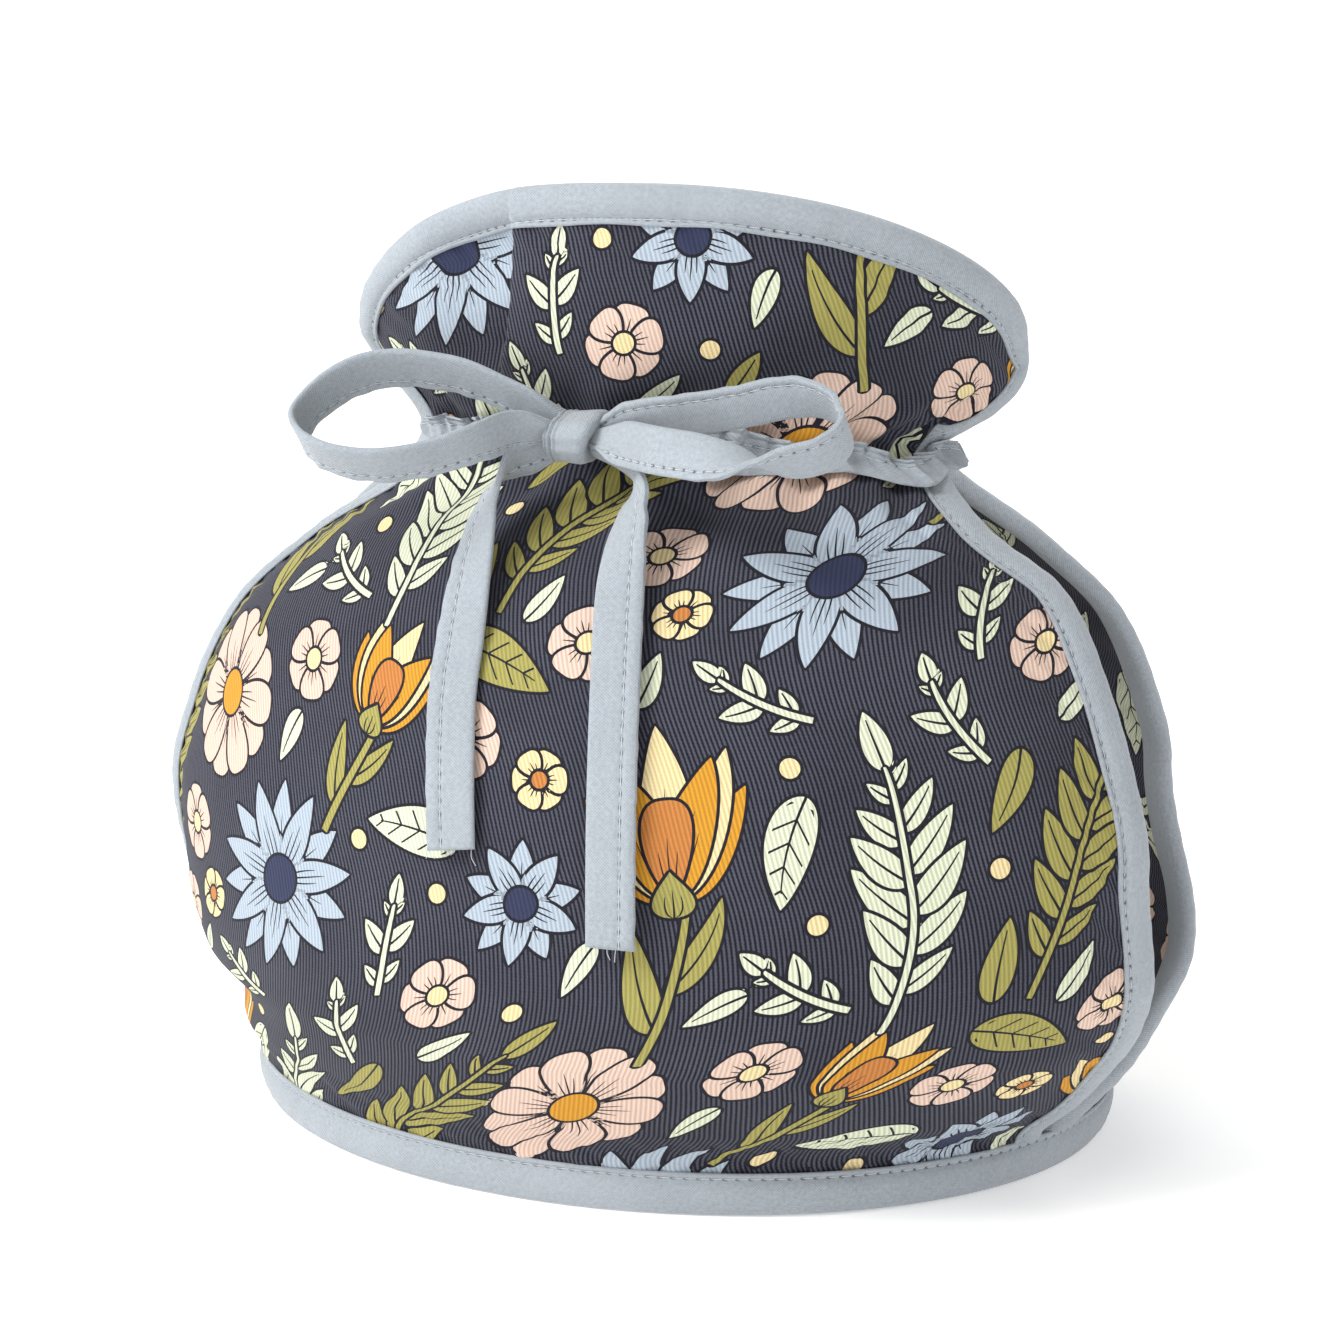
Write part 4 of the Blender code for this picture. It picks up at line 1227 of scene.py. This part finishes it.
def make_binding(name, node, leaf, phase):
    """One leaf's binding, swept along its edge, with its stitches."""
    angle, height, more_angle, more_height, inward, along = leaf_edge(leaf, STITCH_PITCH / 3.0)
    puff = 1.0 + 0.10 * np.sin(along / 0.021 + phase) + 0.07 * np.sin(along / 0.0087 + 2.0 * phase)
    rings = []
    for row, (inner, out) in enumerate(BINDING):
        inner, out = inner / 1000.0, out / 1000.0
        ripple = 0.00010 * math.sin(row * 0.9) * np.sin(along / 0.0011 + row * 0.8)
        if 6 <= row <= 13:
            out = out * puff + ripple
        inward_on_face = max(inner, 0.0)
        row_height = height + more_height * inward_on_face
        tucked = 1.0 - ease((row_height - HEM_HEIGHT + 0.0012) / 0.0014)
        out = out + tucked * (np.clip(out, -0.0030, -0.0008) - out)
        place = leaf.cloth(angle + more_angle * inward_on_face, row_height, out)
        if row < 5:  # the free lip is not quite straight
            place = place + (0.00018 * np.sin(along / 0.0041 + phase))[:, None] * inward
        rings.append(place + inward * min(inner, 0.0))
    normal = leaf.directions(angle, height)[2]
    return sewn_strip(name, node, np.stack(rings, axis=1), along, BINDING_SEAM, normal)


front_binding = make_binding("front_bias_binding", "front_binding", front, 0.4)
back_binding = make_binding("back_bias_binding", "back_binding", back, 2.1)

# ---------------------------------------------------------------------------- the hem band
# A wider strip of the same cotton, folded up over the lower edges of both leaves in one ring.
# The cosy stands on its fold, which is pressed flat; its upper edge is stitched down.

# out of the leaves' face and up, in millimetres, from the upper edge outside to the one inside
HEM = (
    (-0.72, 10.05),
    (-0.36, 10.00),
    (-0.05, 9.65),
    (-0.02, 9.25),
    (-0.25, 8.90),
    (-0.38, 8.70),
    (-0.22, 8.48),
    (0.32, 8.00),
    (0.86, 7.00),
    (1.18, 5.60),
    (1.26, 4.10),
    (1.12, 2.60),
    (0.72, 1.20),
    (0.10, 0.30),
    (-0.80, 0.00),
    (-2.30, 0.00),
    (-3.60, 0.00),
    (-4.40, 0.45),
    (-4.75, 1.80),
    (-4.80, 4.50),
    (-4.40, 7.40),
    (-4.05, 8.60),
    (-3.62, 8.80),
    (-3.45, 8.50),
    (-3.45, 1.60),
    (-3.00, 1.05),
    (-1.30, 1.05),
    (-0.78, 1.60),
    (-0.78, 8.80),
)
HEM_SEAM = 5
HEM_OUTSIDE, HEM_INNER_FOLD = 10, 19  # rows half way up the outside and the inside
_, _, _, hem_left, hem_right = section(HEM_INSIDE)
turns = np.linspace(hem_left, hem_right, 300)
out, rise = np.array(HEM).T / 1000.0
hem_rings = []
for leaf in (front, back):
    outward = level(leaf.directions(turns, 0.006)[2])
    hem_rings.append(leaf.bare(turns[:, None], rise[None]) + out[None, :, None] * outward[:, None])
looped = np.concatenate([*hem_rings, hem_rings[0][:1]])
walk = distances(looped[:, HEM_OUTSIDE])
rounds = round(walk[-1] / STITCH_PITCH)
even = np.linspace(0.0, walk[-1], 3 * rounds, endpoint=False)
hem_rings = resampled(looped.reshape(len(looped), -1), walk, even).reshape(-1, len(HEM), 3)
outward = level(hem_rings[:, HEM_OUTSIDE] - hem_rings[:, HEM_INNER_FOLD])
swell = 0.00016 * np.sin(even / 0.019) + 0.00012 * np.sin(even / 0.0077 + 1.0)
for row in range(7, 13):
    ripple = 0.00008 * np.sin(even / 0.0012 + row * 0.9)
    hem_rings[:, row] += (swell + ripple)[:, None] * outward
even = np.append(even, walk[-1])
hem_pitch = float(walk[-1] / rounds)
hem_band = sewn_strip(
    "hem_bias_band", "hem_band", hem_rings, even, HEM_SEAM, outward, hem_pitch, closed=True
)

# ---------------------------------------------------------------------------- the casings
# A channel of the plain cotton is sewn round the neck in three stretches, for the tie to run
# through. Pulled up, it ruffles: its body puckers, and its free upper edge flutters.

# each stretch: angle, bottom, top, how far out, and how far the free edge leans out
FRONT_CASING = (
    (-50.0, 0.1632, 0.1682, 0.0008, 0.0000),
    (-42.0, 0.1630, 0.1694, 0.0008, 0.0000),
    (-30.0, 0.1628, 0.1700, 0.0008, 0.0000),
    (-18.0, 0.1622, 0.1710, 0.0008, 0.0000),
    (14.0, 0.1608, 0.1716, 0.0008, 0.0000),
    (23.5, 0.1606, 0.1712, 0.0008, 0.0000),
    (38.0, 0.1610, 0.1666, 0.0010, 0.0004),
    (44.0, 0.1612, 0.1668, 0.0010, 0.0000),
    (48.0, 0.1602, 0.1674, 0.0010, 0.0000),
    (52.0, 0.1586, 0.1668, 0.0012, 0.0004),
    (55.0, 0.1580, 0.1648, 0.0014, 0.0018),
    (57.5, 0.1578, 0.1630, 0.0016, 0.0026),
    (61.0, 0.1584, 0.1640, 0.0014, 0.0018),
    (66.0, 0.1598, 0.1650, 0.0010, 0.0008),
    (69.5, 0.1602, 0.1667, 0.0010, 0.0000),
    (75.0, 0.1606, 0.1665, 0.0010, 0.0000),
    (80.0, 0.1612, 0.1656, 0.0012, 0.0000),
)
BACK_CASING = (
    (-41.0, 0.1590, 0.1680, 0.0008, 0.0000),
    (0.0, 0.1604, 0.1700, 0.0008, 0.0000),
    (49.0, 0.1590, 0.1680, 0.0008, 0.0000),
)
# the section: share of the height, millimetres out, and how much of the ruffle it takes
CASING = (
    (0.00, 0.10, 0.10),
    (0.02, 0.50, 0.25),
    (0.08, 0.90, 0.55),
    (0.20, 1.15, 0.80),
    (0.36, 1.25, 0.90),
    (0.52, 1.20, 0.90),
    (0.63, 1.05, 0.85),
    (0.67, 0.70, 0.80),
    (0.71, 1.05, 0.90),
    (0.79, 1.35, 1.05),
    (0.84, 1.25, 1.15),
    (0.87, 0.75, 1.20),
    (0.90, 1.35, 1.30),
    (0.95, 1.70, 1.40),
    (1.01, 1.50, 1.45),
    (1.00, 1.00, 1.40),
    (0.88, 0.25, 1.20),
    (0.74, 0.05, 0.80),
    (0.66, 0.00, 0.50),
    (0.40, 0.00, 0.30),
    (0.12, 0.00, 0.10),
)
CASING_SEAM = 7


def make_casing(node, leaf, table, first, last, phase):
    """One stretch of the casing, ruffled, from one angle to another, with its stitches."""
    name = node + "_ruffle"
    angles, *columns = np.array(table).T
    middle = leaf.bare(np.linspace(first, last, 60), NECK)
    length = float(distances(middle)[-1])
    count = round(length / (STITCH_PITCH / 6.0))
    turns = np.linspace(first, last, count + 1)
    along = np.linspace(0.0, length, count + 1)
    bottom, top, proud, lean = (np.interp(turns, angles, column) for column in columns)
    ends = ease(np.minimum(along, length - along) / 0.005)
    curl = 1.0 - ease(np.minimum(along, length - along) / 0.003)
    fold = along * math.pi / 0.0088 + phase + 0.8 * np.sin(along / 0.0068)
    gather = ends * (1.0 - 2.0 * np.abs(np.sin(fold)) ** 0.8)  # round crests and sharp valleys
    crinkle = 2.0 * math.pi * along / 0.0043 + 2.0 * phase + 0.9 * np.sin(along / 0.0040)
    flat_way = level(leaf.directions(turns, NECK)[2])
    rings = []
    for row, (share, out, ruffle) in enumerate(CASING):
        tube = 1.9 * math.sqrt(max(4.0 * share * (1.0 - share), 0.0)) if row < 15 else out
        lifted = 0.00040 * ends * share * np.sin(along * 2.0 * math.pi / 0.0118 + phase + share)
        folded = ends * np.sin(crinkle + 1.5 * share)
        height = bottom + (top - bottom) * (share + curl * (0.10 - 0.22 * share)) + lifted
        place = leaf.bare(turns + 0.9 * share * folded, height)
        reach = proud + lean * share + (out + (tube - out) * curl) / 1000.0 + 0.0011
        reach = reach + ruffle * (0.00130 * gather + 0.00075 * folded)
        rings.append(place + reach[:, None] * flat_way)
    return sewn_strip(name, node, np.stack(rings, axis=1), along, CASING_SEAM, flat_way)


left_casing = make_casing("front_casing_left", front, FRONT_CASING, -49.5, -18.0, 0.5)
right_casing = make_casing("front_casing_right", front, FRONT_CASING, 14.0, 77.0, 1.9)
back_casing = make_casing("back_casing", back, BACK_CASING, -41.0, 49.0, 3.1)

# ---------------------------------------------------------------------------- the room
# A white table that curves up into a white wall behind, under soft daylight from the left.

bpy.ops.object.select_all(action="DESELECT")
bpy.ops.mesh.primitive_plane_add(size=6.0, location=(0.0, 0.0, -0.0002))
table = bpy.context.object
table.name = "table"
bpy.ops.object.mode_set(mode="EDIT")
bpy.ops.mesh.select_all(action="SELECT")
bpy.ops.mesh.subdivide(number_cuts=60)
bpy.ops.object.mode_set(mode="OBJECT")
for vertex in table.data.vertices:
    far = math.hypot(vertex.co.x, vertex.co.y)
    vertex.co.z += 0.9 * float(ease((far - 1.3) / 1.5))
table.data.shade_smooth()
white = bpy.data.materials.new("white_table")
white.use_nodes = True
surface = white.node_tree.nodes["Principled BSDF"].inputs
surface["Base Color"].default_value = (0.92, 0.92, 0.92, 1.0)
surface["Roughness"].default_value = 0.95
surface["Specular IOR Level"].default_value = 0.0
surface["Emission Color"].default_value = (1.0, 1.0, 1.0, 1.0)
surface["Emission Strength"].default_value = 0.30
table.data.materials.append(white)

for name, place, size, power in (
    ("window", (-0.75, -0.85, 1.15), 0.8, 25.0),
    ("fill", (1.3, -1.1, 0.7), 1.4, 3.5),
    ("back_light", (-0.2, 1.1, 1.2), 1.0, 11.0),
):
    bpy.ops.object.select_all(action="DESELECT")
    bpy.ops.object.light_add(type="AREA", location=place)
    lamp = bpy.context.object
    lamp.name = name
    lamp.data.size = size
    lamp.data.energy = power
    lamp.rotation_euler = facing(place, (0.0, 0.0, 0.1))
world = bpy.data.worlds.new("room")
bpy.context.scene.world = world
world.use_nodes = True
sky = world.node_tree.nodes["Background"].inputs
sky["Color"].default_value = (1.0, 1.0, 1.0, 1.0)
sky["Strength"].default_value = 0.52
bpy.context.scene.view_settings.view_transform = "Standard"
